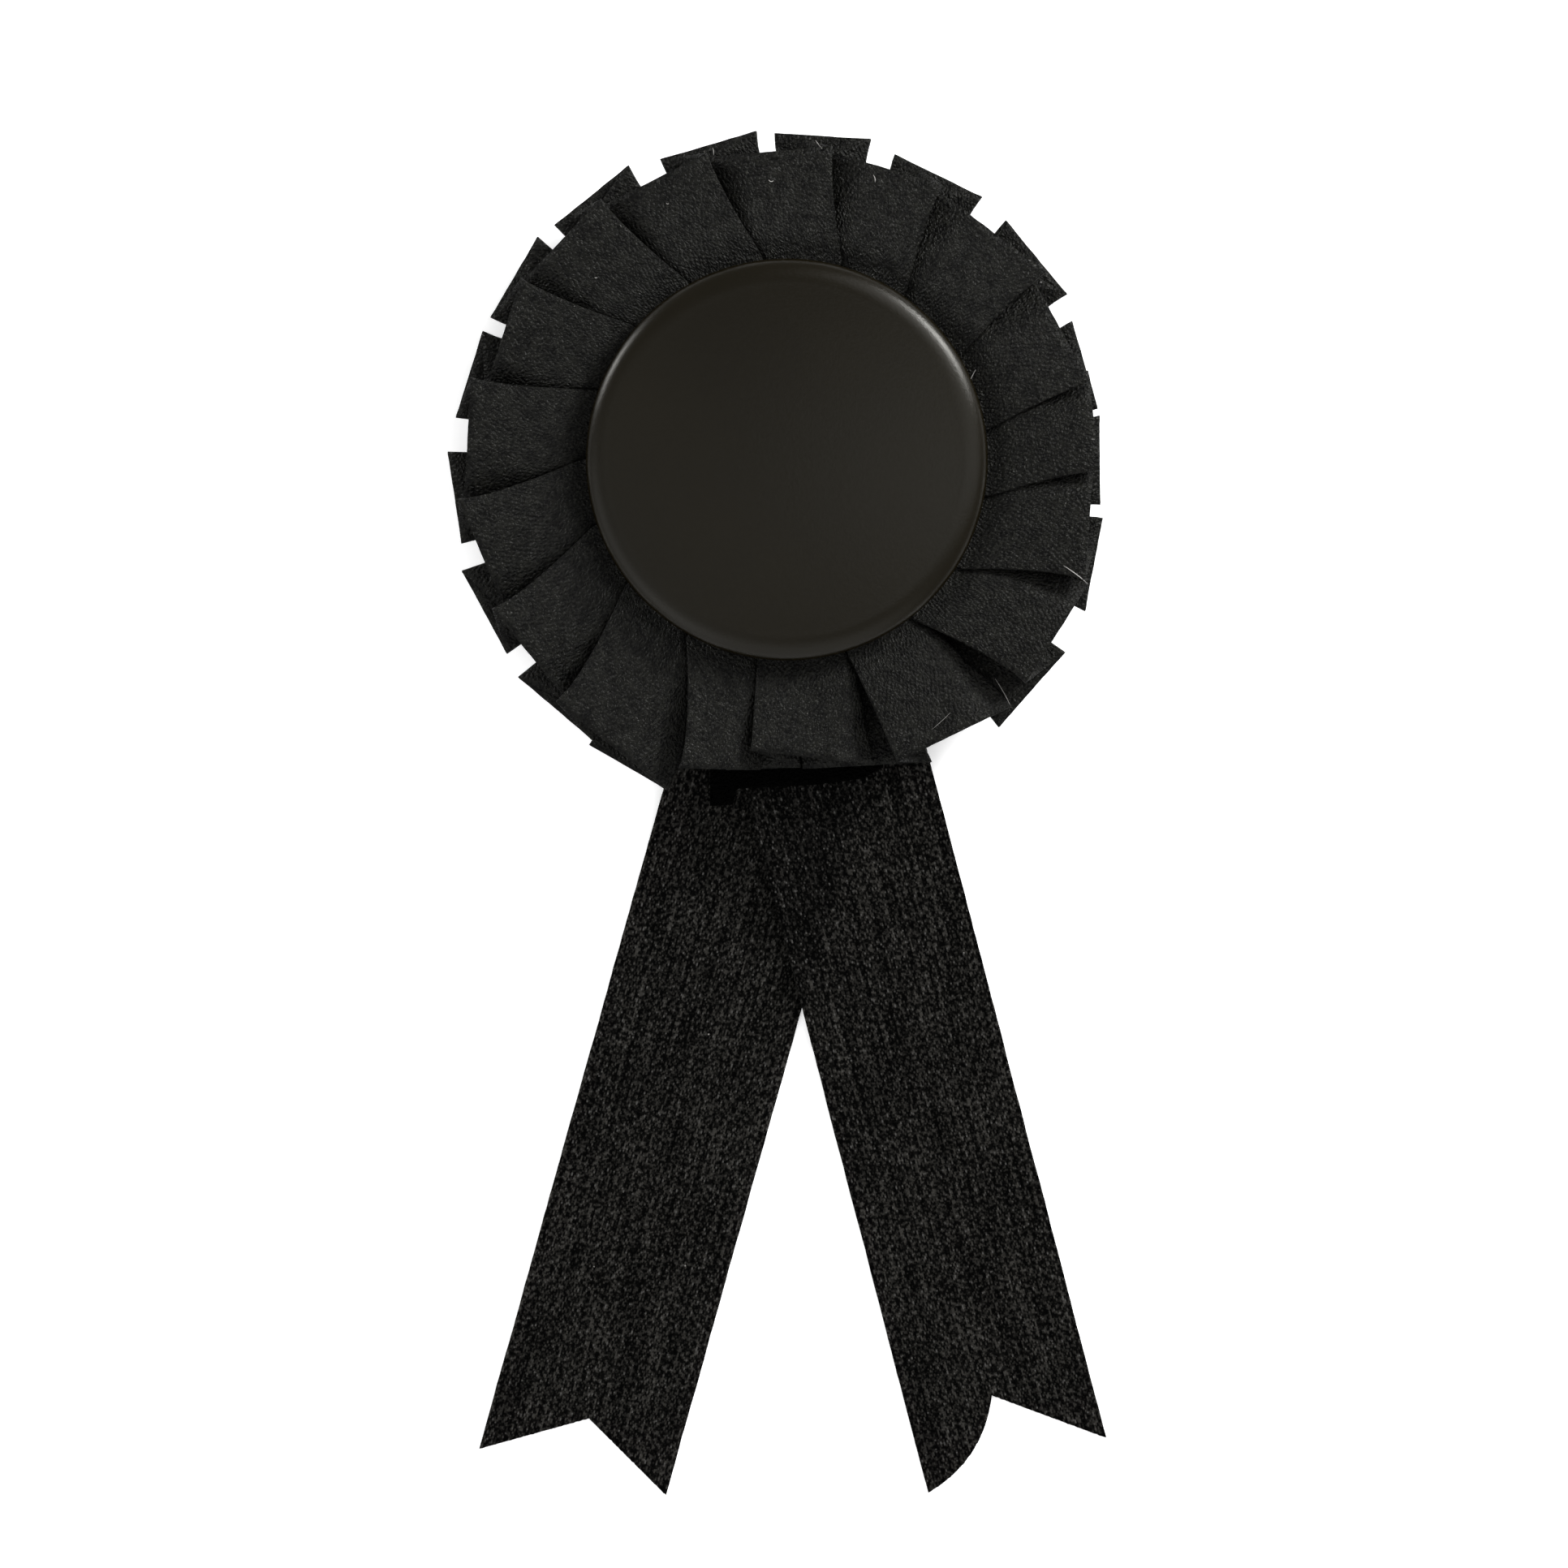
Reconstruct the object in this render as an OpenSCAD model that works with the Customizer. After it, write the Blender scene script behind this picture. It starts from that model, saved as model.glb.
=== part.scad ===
// Black ribbon rosette: a domed badge in a ring of box pleats, with two forked tails below.
// It lies face up: +Z is the front and +Y the top. It rests on its bar pin and on the tails' ends.
// The origin is on the surface that it lies on, under the middle of its outline.

/* [Badge] */
// Diameter over the rolled rim
badge_d = 58; // [57:0.5:59]
// Height from the rolled rim's underside to the top of the dome
badge_h = 5; // [4.8:0.1:5.5]
// Thickness of the pressed shell
badge_wall = 0.8; // [0.6:0.1:1]
// Radius of the rounded edge between the dome and the side
badge_edge_r = 2.9; // [2.6:0.1:3]
// Radius of the curl under the edge
badge_curl_r = 0.9; // [0.8:0.1:1]

/* [Pleated ribbon] */
// Width of the ribbon, from the rim of the ring inwards
ribbon_w = 25; // [24:0.5:25.5]
// Thickness of every wall of cloth
cloth_t = 1; // [1:0.05:1.1]
// Gap between two plies that lie on each other
ply_gap = 0.15; // [0.1:0.01:0.2]
// Climb of a face from where it starts to its fold
face_climb = 2.75; // [2.7:0.05:3]
// Slack inside a fold, along the ply
fold_slack = 0.15; // [0.1:0.05:0.3]
// Steps round a fold
fold_steps = 4; // [4:2:6]

/* [Tails] */
// Width of the left tail
left_tail_w = 27.8; // [26:0.1:29]
// Width of the right tail
right_tail_w = 26.9; // [26:0.1:29]
// Angle of the left tail from straight down
left_tail_lean = 15.6; // [14:0.1:17]
// Angle of the right tail from straight down
right_tail_lean = 14.6; // [13:0.1:16]
// Distance of the left tail's middle line from the badge's middle
left_tail_aside = 9.5; // [8:0.1:10]
// Distance of the right tail's middle line from the badge's middle
right_tail_aside = 4.4; // [3:0.1:5]
// Distance of the tails' upper ends from the badge's middle
tail_top = 12; // [11:0.5:14]

/* [Back] */
// Diameter of the card
card_d = 56; // [54:0.5:57]
// Thickness of the card
card_t = 1; // [1:0.1:1.5]
// Height of the bar pin, from the surface to the card
pin_h = 4.8; // [4.6:0.1:5.5]
// Distance between the pin's hinge and its catch
pin_span = 25; // [22:0.5:28]
// Distance of the pin above the badge's middle
pin_up = 8; // [7:0.5:10]
// Width of the pin's bar
pin_bar_w = 5; // [4:0.5:6]
// Thickness of the pin's bar
pin_bar_t = 0.8; // [0.6:0.1:0.9]
// Radius of the hinge barrel and of the catch
pin_barrel_r = 1.3; // [1.2:0.1:1.4]
// Width of the hinge and of the catch
pin_barrel_w = 3.4; // [3:0.1:4]
// Radius of the pin's wire
pin_wire_r = 0.45; // [0.4:0.05:0.5]

/* [Hidden] */
$fn = 96;

// Place of the badge's middle from the middle of the outline
badge_at = [1.4, 51.1];
// Gap between two pieces that lie on each other
piece_gap = 0.1;
// How much longer the pin's straight bar is than the span, apart from its round ends
pin_bar_overhang = 2;
// Facets of the whole circle that the dome is a small part of
dome_facets = 1440;
// How far the badge's rounded edge stands proud of the dome where the two meet
dome_inset = 0.01;

card_z = pin_h + piece_gap;
ring_z = card_z + card_t + piece_gap;
ply_step = cloth_t + ply_gap;
back_z = ring_z + cloth_t / 2;
start_z = back_z + 2 * ply_step;
crest_z = start_z + face_climb;
badge_z = crest_z + cloth_t / 2 + piece_gap;

// Columns of the fold table. A bearing is in degrees clockwise from the top of the ring, and a reach is
// a radius in mm. A face is the stretch of ribbon that shows, and a tab is the stretch behind its fold.
AT = 0; // bearing of the fold's corner at the rim
REACH = 1; // reach of that corner
LEAN = 2; // how much further round the fold is where it meets the badge, in degrees
LAP = 3; // how far the fold laps over the start of the next face at the rim, in degrees
NOTCH = 4; // reach of the face before the fold, in the notch between two tabs
TAB_FROM = 5; // bearing of the tab's first corner
FROM_REACH = 6; // reach of that corner
TAB_TO = 7; // bearing of the tab's last corner
TO_REACH = 8; // reach of that corner
folds = [
    [8.2, 45.7, 7.3, 2, 44.5, -2.1, 47.2, 14.7, 47.9],
    [29.4, 45.6, 6.1, 2, 44.4, 19.5, 46.8, 36.6, 47.3],
    [54.1, 46.2, 4.6, 2, 44.2, 42.5, 46.9, 59.4, 47.0],
    [75.5, 45.1, 5.9, 2, 43.7, 64.1, 45.8, 80.6, 45.5],
    [91.9, 45.2, 8.4, 2, 44.7, 82.0, 45.6, 98.1, 45.7],
    [112.0, 46.4, 10.3, -0.5, 44.4, 100.5, 46.4, 116.9, 48.3],
    [133.1, 47.2, 8.5, -4.6, 46.4, 124.7, 48.9, 141.6, 49.3],
    [160.0, 46.5, 2.6, -4.0, 46.5, 154.4, 48.4, 176.0, 44.7],
    [186.9, 42.3, 1.4, 2, 42.9, 178.5, 44.5, 191.0, 45.6],
    [199.3, 47.2, 10.0, -2, 46.2, 198.9, 50.5, 214.4, 50.1],
    [223.6, 48.3, 8.4, 2, 48.2, 215.0, 49.3, 231.0, 49.9],
    [243.1, 47.7, 8.0, 2, 46.6, 235.3, 49.2, 251.1, 49.6],
    [263.1, 47.8, 7.0, 2, 46.2, 255.6, 48.5, 271.3, 49.0],
    [284.5, 47.1, 5.4, 2, 46.2, 277.3, 48.2, 292.9, 47.7],
    [304.3, 46.4, 6.7, 2, 44.8, 295.7, 47.5, 311.8, 48.3],
    [324.4, 46.2, 6.3, 2, 45.4, 315.3, 47.7, 331.7, 48.3],
    [345.3, 45.7, 7.8, 2, 44.7, 337.2, 47.1, 354.7, 47.7]
];
// The fold at which the ribbon starts and ends
first_fold = 9;
// Lap of a face's start under the fold before it, where the badge covers both, in degrees
inner_lap = 1.5;
// Length of the last ply behind the last fold, in degrees
last_ply = 5;
// Steepest fall of a ply from a fold to its tab, in mm for each mm
steepest = 0.9;
// Radius where the folds' bearings are read, and where their lean is complete
rim_r = 45.7;
lean_r = 29.5;
// Radius of a row of points between those two
waist_r = 37;

// Ends of the tails as points [across, along], in mm from the tail's middle line and the badge's middle
left_notch = [0.2, 141.1];
left_corners = [149.6, 148.8];
right_notch = [-1, 138.3];
right_corners = [149.6, 148.4];
// Bulge of the right tail's curved cut
right_cut_bulge = 2.1;
cut_steps = 6;

// Heights of a tail's underside as points [along, height], with an even S curve between two points.
// The right tail lies on the left one until the two part.
right_tail_z = card_z - piece_gap - cloth_t;
left_tail_z = right_tail_z - piece_gap - cloth_t;
over_left_z = cloth_t + 3 * piece_gap;
past_tails = 160;
left_fall = [[tail_top, left_tail_z], [44, left_tail_z], [62, 0], [past_tails, 0]];
right_fall = [
    [tail_top, right_tail_z],
    [50, right_tail_z],
    [70, over_left_z],
    [84, over_left_z],
    [98, 0],
    [past_tails, 0]
];
fall_steps = 8;

// Corners of the cut end that shows below the ring, from the badge's middle
end_outline = [[-11.1, -50], [-11.5, -28.6], [13, -28.6], [14, -45.3], [-7.4, -49.4]];

// Degrees round the rim for a length in mm
function round_rim(length) = length / rim_r * 180 / PI;

// A value of a fold, counted on past the last fold into the next turn
function fold_value(i, column) =
    folds[i % len(folds)][column]
    + (column == AT || column == TAB_FROM || column == TAB_TO ? 360 * floor(i / len(folds)) : 0);

// Bearing where the face after a fold starts
function start_at(i) = fold_value(i, AT) - fold_value(i, LAP);

// Lean of a face's start, which is under the fold where the badge covers both
function start_lean(i) = fold_value(i, LEAN) + fold_value(i, LAP) - inner_lap;

// Lean of the two tab corners in the notch before a fold
function notch_lean(i) =
    min((fold_value(i - 1, LEAN) + fold_value(i, LEAN)) / 2, fold_value(i, LEAN) + 1);

// Reach at a bearing of the straight edge through two corners, each given as [bearing, reach]
function edge_reach(at, a, b) =
    a[1] * b[1] * sin(b[0] - a[0]) / (a[1] * sin(at - a[0]) + b[1] * sin(b[0] - at));

// Reach of the face before a fold, at a bearing
function face_reach(i, at) =
    edge_reach(
        at,
        [(fold_value(i - 1, TAB_TO) + fold_value(i, TAB_FROM)) / 2, fold_value(i, NOTCH)],
        [fold_value(i, AT), fold_value(i, REACH)]
    );

// A section of the ribbon is [front point, back point, reach, lean], each point as [bearing, height].
// On a ply, front_up says which side is the ribbon's front.
function ply(at, z, reach, lean, front_up) =
    let (half = front_up ? cloth_t / 2 : -cloth_t / 2)
    [[at, z + half], [at, z - half], reach, lean];

// Sections round a fold whose outside is at bearing tip and which points to side, 1 for clockwise
function fold_round(tip, side, z_from, z_to, reach, lean, front_out) =
    let (middle = (z_from + z_to) / 2)
    let (down = z_from > z_to ? 1 : -1)
    let (inside = (abs(z_from - z_to) - cloth_t) / 2)
    [
        for (step = [0:fold_steps])
            let (turn = 90 - 180 * step / fold_steps)
            let (back = 1 - cos(turn))
            let (rise = down * sin(turn))
            let (inner = [tip - side * round_rim(cloth_t + fold_slack * back), middle + inside * rise])
            let (outer = [
                tip - side * round_rim((cloth_t + fold_slack) * back),
                middle + (inside + cloth_t) * rise
            ])
            front_out ? [outer, inner, reach, lean] : [inner, outer, reach, lean]
    ];

// The fold at the end of a face, over to the ply behind it
function crest(i) =
    fold_round(
        fold_value(i, AT), 1, crest_z, crest_z - ply_step,
        fold_value(i, REACH), fold_value(i, LEAN), true
    );

// The ply behind a face where it passes over the next face's start, and the height it has there
function over_start(i) = start_at(i) - round_rim(cloth_t / 2 + ply_gap);
function passes_over(i) = fold_value(i, LAP) > 0;
function ply_behind(i) =
    passes_over(i)
        ? [ply(
            over_start(i), start_z + ply_step,
            edge_reach(
                over_start(i),
                [fold_value(i, TAB_FROM), fold_value(i, FROM_REACH)],
                [fold_value(i, AT), fold_value(i, REACH)]
            ),
            start_lean(i), false
        )]
        : [];

// Height of the ply behind a face where it turns into the tab, low but never reached too steeply
function tab_top_z(i) =
    let (from_at = passes_over(i) ? over_start(i) : fold_value(i, AT) - round_rim(cloth_t + fold_slack))
    let (from_z = passes_over(i) ? start_z + ply_step : crest_z - ply_step)
    let (run = (from_at - fold_value(i, TAB_FROM)) * rim_r * PI / 180 - cloth_t - fold_slack)
    max(back_z + ply_step, from_z - steepest * run);

// The first fold of a tab
function tab_start(i) =
    fold_round(
        fold_value(i, TAB_FROM), -1, tab_top_z(i), back_z,
        fold_value(i, FROM_REACH), notch_lean(i), false
    );

// The last fold of a tab
function tab_end(i) =
    fold_round(
        fold_value(i, TAB_TO), 1, back_z, back_z + ply_step,
        fold_value(i, TO_REACH), notch_lean(i + 1), false
    );

// The fold at the start of the face after fold i
function face_start(i) =
    fold_round(
        start_at(i), -1, back_z + ply_step, start_z,
        face_reach(i + 1, start_at(i)), start_lean(i), true
    );

// The ribbon starts as the first fold's tab, goes once round, and ends behind that fold
function ribbon_start() =
    let (i = first_fold)
    concat(
        [ply(fold_value(i, TAB_FROM), back_z, fold_value(i, FROM_REACH), notch_lean(i), true)],
        tab_end(i),
        face_start(i)
    );
function ribbon_pleat(i) = concat(crest(i), ply_behind(i), tab_start(i), tab_end(i), face_start(i));
function ribbon_finish() =
    let (i = first_fold + len(folds))
    let (at = fold_value(i, AT) - last_ply)
    let (slope = face_climb / (fold_value(i, AT) - start_at(i - 1)))
    concat(
        crest(i),
        [ply(at, crest_z - ply_step - slope * last_ply, face_reach(i, at), fold_value(i, LEAN), false)]
    );
ribbon = concat(
    ribbon_start(),
    [for (i = [first_fold + 1:first_fold + len(folds) - 1]) each ribbon_pleat(i)],
    ribbon_finish()
);

// Share of a fold's lean at a radius: none at the rim, all of it at the badge and inside
function lean_share(r) = max(0, min(1, (1 / r - 1 / rim_r) / (1 / lean_r - 1 / rim_r)));

function ring_point(side, section, r) =
    let (bearing = side[0] + section[3] * lean_share(r))
    [r * sin(bearing), r * cos(bearing), side[1]];

// Radii of the points of a section, from the ribbon's inner edge to its outer edge
function section_radii(section) = [section[2] - ribbon_w, lean_r, waist_r, section[2]];

// Rosette's place in the part
module in_place() {
    translate([badge_at[0], badge_at[1], 0]) children();
}

// A sheet through sections, with two points, front and back, for each section and radius
module pleated_sheet(sections) {
    radii = len(section_radii(sections[0]));
    last = len(sections) - 1;
    points = [
        for (s = sections)
            for (r = section_radii(s))
                for (side = [s[0], s[1]]) ring_point(side, s, r)
    ];
    function front(s, j) = (s * radii + j) * 2;
    function back(s, j) = front(s, j) + 1;
    function square_of(a, b, c, d) = [[a, b, c], [a, c, d]];
    faces = [
        for (s = [0:last - 1])
            each concat(
                [
                    for (j = [0:radii - 2])
                        each concat(
                            square_of(front(s, j), front(s, j + 1), front(s + 1, j + 1), front(s + 1, j)),
                            [
                                [back(s, j), back(s + 1, j + 1), back(s, j + 1)],
                                [back(s, j), back(s + 1, j), back(s + 1, j + 1)]
                            ]
                        )
                ],
                square_of(front(s, 0), front(s + 1, 0), back(s + 1, 0), back(s, 0)),
                square_of(
                    front(s, radii - 1), back(s, radii - 1), back(s + 1, radii - 1), front(s + 1, radii - 1)
                )
            )
    ];
    ends = [
        for (j = [0:radii - 2])
            each concat(
                square_of(front(0, j), back(0, j), back(0, j + 1), front(0, j + 1)),
                square_of(front(last, j), front(last, j + 1), back(last, j + 1), back(last, j))
            )
    ];
    polyhedron(points = points, faces = concat(faces, ends), convexity = 10);
}

module pleated_ribbon() {
    color("#1d1d20") in_place() pleated_sheet(ribbon);
}

// Half section of the badge's outside, drawn in by inset, as [radius, height]
module badge_half(inset) {
    edge_at = [badge_d / 2 - badge_edge_r, badge_curl_r];
    rise = badge_h - badge_curl_r;
    touch_r = badge_edge_r - dome_inset;
    dome_r = (pow(edge_at[0], 2) + pow(rise, 2) - pow(touch_r, 2)) / (2 * (rise - touch_r));
    dome_at = [0, badge_h - dome_r];
    past_meet = dome_at + (edge_at - dome_at) * (dome_r + badge_edge_r) / (dome_r - badge_edge_r);
    intersection() {
        translate(dome_at) circle(r = dome_r - inset, $fn = dome_facets);
        polygon([dome_at, past_meet, [0, past_meet[1] + badge_h]]);
        translate([0, badge_curl_r]) square([badge_d, badge_h]);
    }
    intersection() {
        translate(edge_at) circle(r = badge_edge_r - inset);
        translate([0, badge_curl_r]) square([badge_d, badge_h]);
    }
}

module badge() {
    color("#26241f") in_place() translate([0, 0, badge_z]) rotate_extrude() {
        difference() {
            badge_half(0);
            badge_half(badge_wall);
        }
        translate([badge_d / 2 - badge_curl_r, badge_curl_r]) circle(r = badge_curl_r);
    }
}

module ribbon_end() {
    color("#0c0c0e") in_place() translate([0, 0, card_z]) linear_extrude(cloth_t)
        polygon(end_outline);
}

// Even S curve from 0 to 1
function s_curve(x) = x * x * (3 - 2 * x);

// Points on the way from a to b that bulge to the left of it, a and b included
function bulged(a, b, bulge) =
    let (way = b - a)
    let (aside = [-way[1], way[0]] / norm(way))
    [for (i = [0:cut_steps]) let (x = i / cut_steps) a + way * x + aside * bulge * 4 * x * (1 - x)];

// Points of a fall from one height to the next
function fall_line(fall) =
    [
        for (i = [0:len(fall) - 2])
            let (way = fall[i + 1] - fall[i])
            let (steps = way[1] == 0 ? 1 : fall_steps)
            for (step = [i == 0 ? 0 : 1:steps])
                let (x = step / steps)
                fall[i] + [way[0] * x, way[1] * s_curve(x)]
    ];

// A ribbon that hangs down, cut to the end's points [across, along] and bent to its fall
module tail(width, lean, aside, end, fall) {
    outline = concat([[width / 2, tail_top], [-width / 2, tail_top]], end);
    under = fall_line(fall);
    bent = concat(under, [for (i = [len(under) - 1:-1:0]) under[i] + [0, cloth_t]]);
    in_place() rotate(lean) translate([aside, 0, 0]) intersection() {
        linear_extrude(card_z) polygon([for (p = outline) [p[0], -p[1]]]);
        rotate([90, 0, -90]) linear_extrude(2 * width, center = true) polygon(bent);
    }
}

module tail_left() {
    color("#19191a") tail(
        left_tail_w, -left_tail_lean, left_tail_aside,
        [[-left_tail_w / 2, left_corners[0]], left_notch, [left_tail_w / 2, left_corners[1]]],
        left_fall
    );
}

module tail_right() {
    color("#222223") tail(
        right_tail_w, right_tail_lean, -right_tail_aside,
        concat(
            bulged([-right_tail_w / 2, right_corners[0]], right_notch, right_cut_bulge),
            [[right_tail_w / 2, right_corners[1]]]
        ),
        right_fall
    );
}

module back_card() {
    color("#3a3936") in_place() translate([0, 0, card_z]) cylinder(d = card_d, h = card_t);
}

module bar_pin() {
    bar_z = pin_h - pin_bar_t;
    ear_h = bar_z + pin_bar_t / 2 - pin_barrel_r;
    color("silver") in_place() translate([0, pin_up, 0]) {
        translate([0, 0, bar_z]) linear_extrude(pin_bar_t) {
            square([pin_span + pin_bar_overhang, pin_bar_w], center = true);
            for (side = [-1, 1])
                translate([side * (pin_span + pin_bar_overhang) / 2, 0]) circle(d = pin_bar_w);
        }
        for (side = [-1, 1])
            translate([side * pin_span / 2, 0, 0]) rotate([90, 0, 0])
                linear_extrude(pin_barrel_w, center = true) {
                    translate([0, pin_barrel_r]) circle(r = pin_barrel_r);
                    translate([-pin_barrel_r, pin_barrel_r]) square([2 * pin_barrel_r, ear_h]);
                }
        translate([0, 0, pin_barrel_r]) rotate([0, 90, 0])
            cylinder(r = pin_wire_r, h = pin_span, center = true);
    }
}

badge();
pleated_ribbon();
ribbon_end();
tail_left();
tail_right();
back_card();
bar_pin();
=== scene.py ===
import bisect
import math
from collections import namedtuple

import bmesh
import bpy
from mathutils import Matrix, Vector, noise
from mathutils.bvhtree import BVHTree


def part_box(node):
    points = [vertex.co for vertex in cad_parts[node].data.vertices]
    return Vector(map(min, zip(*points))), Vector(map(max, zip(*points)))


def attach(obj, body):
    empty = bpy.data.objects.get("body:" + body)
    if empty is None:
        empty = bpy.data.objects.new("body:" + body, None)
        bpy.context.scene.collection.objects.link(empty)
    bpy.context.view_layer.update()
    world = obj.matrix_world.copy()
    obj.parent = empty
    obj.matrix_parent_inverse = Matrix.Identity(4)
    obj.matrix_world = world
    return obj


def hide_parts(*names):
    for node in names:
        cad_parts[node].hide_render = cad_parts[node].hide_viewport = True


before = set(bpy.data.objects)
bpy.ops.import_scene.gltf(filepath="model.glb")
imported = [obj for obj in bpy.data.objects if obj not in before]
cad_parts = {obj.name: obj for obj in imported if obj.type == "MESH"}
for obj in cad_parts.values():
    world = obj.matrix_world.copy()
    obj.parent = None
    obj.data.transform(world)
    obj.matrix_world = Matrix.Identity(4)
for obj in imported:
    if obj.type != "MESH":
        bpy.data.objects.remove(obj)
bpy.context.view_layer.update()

bl_info = {
    "name": "Ribbon Rosette",
    "version": (1, 0, 0),
    "blender": (4, 5, 0),
    "location": "View3D > Sidebar > Rosette",
    "description": "Dresses a ribbon rosette: badge, pleated ring, tails, pin and studio",
    "category": "Add Mesh",
}

MM = 0.001

# Places taken from the frame, in metres
BADGE_LOW, BADGE_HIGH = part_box("badge")
PIN_LOW, PIN_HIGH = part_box("bar_pin")
RING_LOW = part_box("pleated_ribbon")[0]
END_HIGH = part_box("ribbon_end")[1]
MIDDLE = (BADGE_LOW + BADGE_HIGH) / 2

# The photo's frame: its size and the badge's middle in pixels, and the real size of a pixel
PHOTO_SIZE = 1932
BADGE_PX = (969.5, 566.5)
PIXEL = 0.1172 * MM

# Badge: radius of its outline, of its dome and of the curl under its rim, width and depth of its oval edge,
# and the share of that width that the dome reaches into
BADGE_R = (BADGE_HIGH.x - BADGE_LOW.x) / 2
DOME_R = 250 * MM
CURL_R = 0.9 * MM
EDGE_ACROSS = 4.4 * MM
EDGE_DOWN = 2.25 * MM
EDGE_START = 0.18
# How many radii of the curl up the inside of its wall starts, and the steps round the badge, over its dome,
# over its edge and round a whole curl, of which it has two thirds
WALL_FROM = 1.9
BADGE_STEPS = 192
DOME_STEPS = 40
EDGE_STEPS = 24
CURL_STEPS = 24
# Points closer than the first are one, and edges shorter than the second are none, in metres
SAME_SPOT = 1e-7
NO_LENGTH = 1e-8

# Folds of the pleated ribbon. A bearing is in degrees clockwise from the top of the ring and a reach is a
# radius in mm. at, reach: the fold's corner at the rim; lean: how much further round the fold is where it
# meets the badge; lap: how far the fold laps over the next face's start; notch: reach of the face in the
# notch before the fold; the last four: both corners of the tab behind the fold.
Fold = namedtuple("Fold", "at reach lean lap notch tab_from from_reach tab_to to_reach")
FOLDS = [
    Fold(8.2, 45.7, 7.3, 2, 44.5, -2.1, 47.2, 14.7, 47.9),
    Fold(29.4, 45.6, 6.1, 2, 44.4, 19.5, 46.8, 36.6, 47.3),
    Fold(54.1, 46.2, 4.6, 2, 44.2, 42.5, 46.9, 59.4, 47.0),
    Fold(75.5, 45.1, 5.9, 2, 43.7, 64.1, 45.8, 80.6, 45.5),
    Fold(91.9, 45.2, 8.4, 2, 44.7, 82.0, 45.6, 98.1, 45.7),
    Fold(112.0, 46.4, 10.3, -0.5, 44.4, 100.5, 46.4, 116.9, 48.3),
    Fold(133.1, 47.2, 8.5, -4.6, 46.4, 124.7, 48.9, 141.6, 49.3),
    Fold(160.0, 46.5, 2.6, -4.0, 46.5, 154.4, 48.4, 177.0, 44.7),
    Fold(186.9, 42.3, 1.4, 2, 42.9, 177.4, 44.5, 191.0, 45.6),
    Fold(199.3, 47.2, 10.0, -0.5, 46.2, 198.9, 50.5, 214.7, 50.1),
    Fold(223.6, 48.3, 8.4, 2, 48.2, 214.75, 49.3, 231.0, 49.9),
    Fold(243.1, 47.7, 8.0, 2, 46.6, 235.3, 49.2, 251.1, 49.6),
    Fold(263.1, 47.8, 7.0, 2, 46.2, 255.6, 48.5, 271.3, 49.0),
    Fold(284.5, 47.1, 5.4, 2, 46.2, 277.3, 48.2, 292.9, 47.7),
    Fold(304.3, 46.4, 6.7, 2, 44.8, 295.7, 47.5, 311.8, 48.3),
    Fold(324.4, 46.2, 6.3, 2, 45.4, 315.3, 47.7, 331.7, 48.3),
    Fold(345.3, 45.7, 7.8, 2, 44.7, 337.2, 47.1, 354.7, 47.7),
]
# The fold whose tab the ribbon starts at, how many degrees a fold laps over the next face's start at the
# badge, and how many the last ply runs back behind its fold
FIRST_FOLD = 9
INNER_LAP = 1.5
LAST_PLY = 5.0
# Corners at the rim that are closer than this many degrees are joined by a plain slope, and a notch leans at
# most this many degrees more than the fold after it
CLOSE_CORNERS = 2
NOTCH_MORE = 1
# The ribbon's width, the ring's usual radius, the radius within which a fold has all of its lean, and how
# much the folds bow on their way in
RIBBON_W = 25.0
RIM_R = 45.7
LEAN_R = 29.5
FOLD_BOW = 1.3
# Start of the ribbon: bearing of its cut at the rim, degrees that the cut turns back for each mm inwards, how
# many mm deep the slanting part is, and over how many sections it fades
CUT_AT = 201.0
CUT_SLANT = 0.6
CUT_DEEP = 9
CUT_FADE = 9
# A section is a line across the ribbon from rim to middle. climb is its share of the way up a face, or None.
Section = namedtuple("Section", "bearing height reach lean climb", defaults=[None])

# Heights of the plies' middles above the ring's underside, in mm: a tab, a face's start and a fold
TAB_Z = 0.25
START_Z = 1.8
CREST_Z = 5.8
# Height of a ply over the face's start that it passes and how far before the start it is, in mm
PASS_Z = 1.0
PASS_BEFORE = 0.5
# Drops in mm: of the last ply's end below its fold, of the faces' starts below the folds where the badge
# holds the pleats, and of the whole ring under the badge
LAST_DROP = 1.6
HELD_DROP = 1.1
BADGE_PRESS = 0.8
# Radii in mm: the pleats are held within the first and free outside the second, the cloth is smooth within
# the third and uneven outside the fourth, and the badge presses within the fifth, and fully within the last
HELD_R, FREE_R = 31.0, 46.0
SMOOTH_R, UNEVEN_R = 30.0, 36.0
PRESS_R, PRESSED_R = 32.5, 29.0
# Share of a face that its steep start takes up at the rim and at the badge, how sharply a face bows, and how
# even its climb is, from 0 to 1
STEEP_SHARE = 0.34
STEEP_INSIDE = 0.13
FACE_BOW = 1.6
FACE_EVEN = 0.45
# How sharply the cloth drops behind a fold, and how closely the sections of a face crowd to its start
TAB_BOW = 2.5
FACE_CROWD = 1.4
# Unevenness of the ring's cloth, in mm: depth and size of its dents and of its wrinkles, and of its rim's
# waves, whose size is in degrees. Plies this far apart in height have dents of their own.
DENT_DEEP, DENT_SIZE = 0.1, 7.0
WRINKLE_DEEP, WRINKLE_SIZE = 0.03, 2.0
RIM_WAVE, RIM_WAVE_SIZE = 0.06, 2.1
PLIES_APART = 3.0
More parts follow.
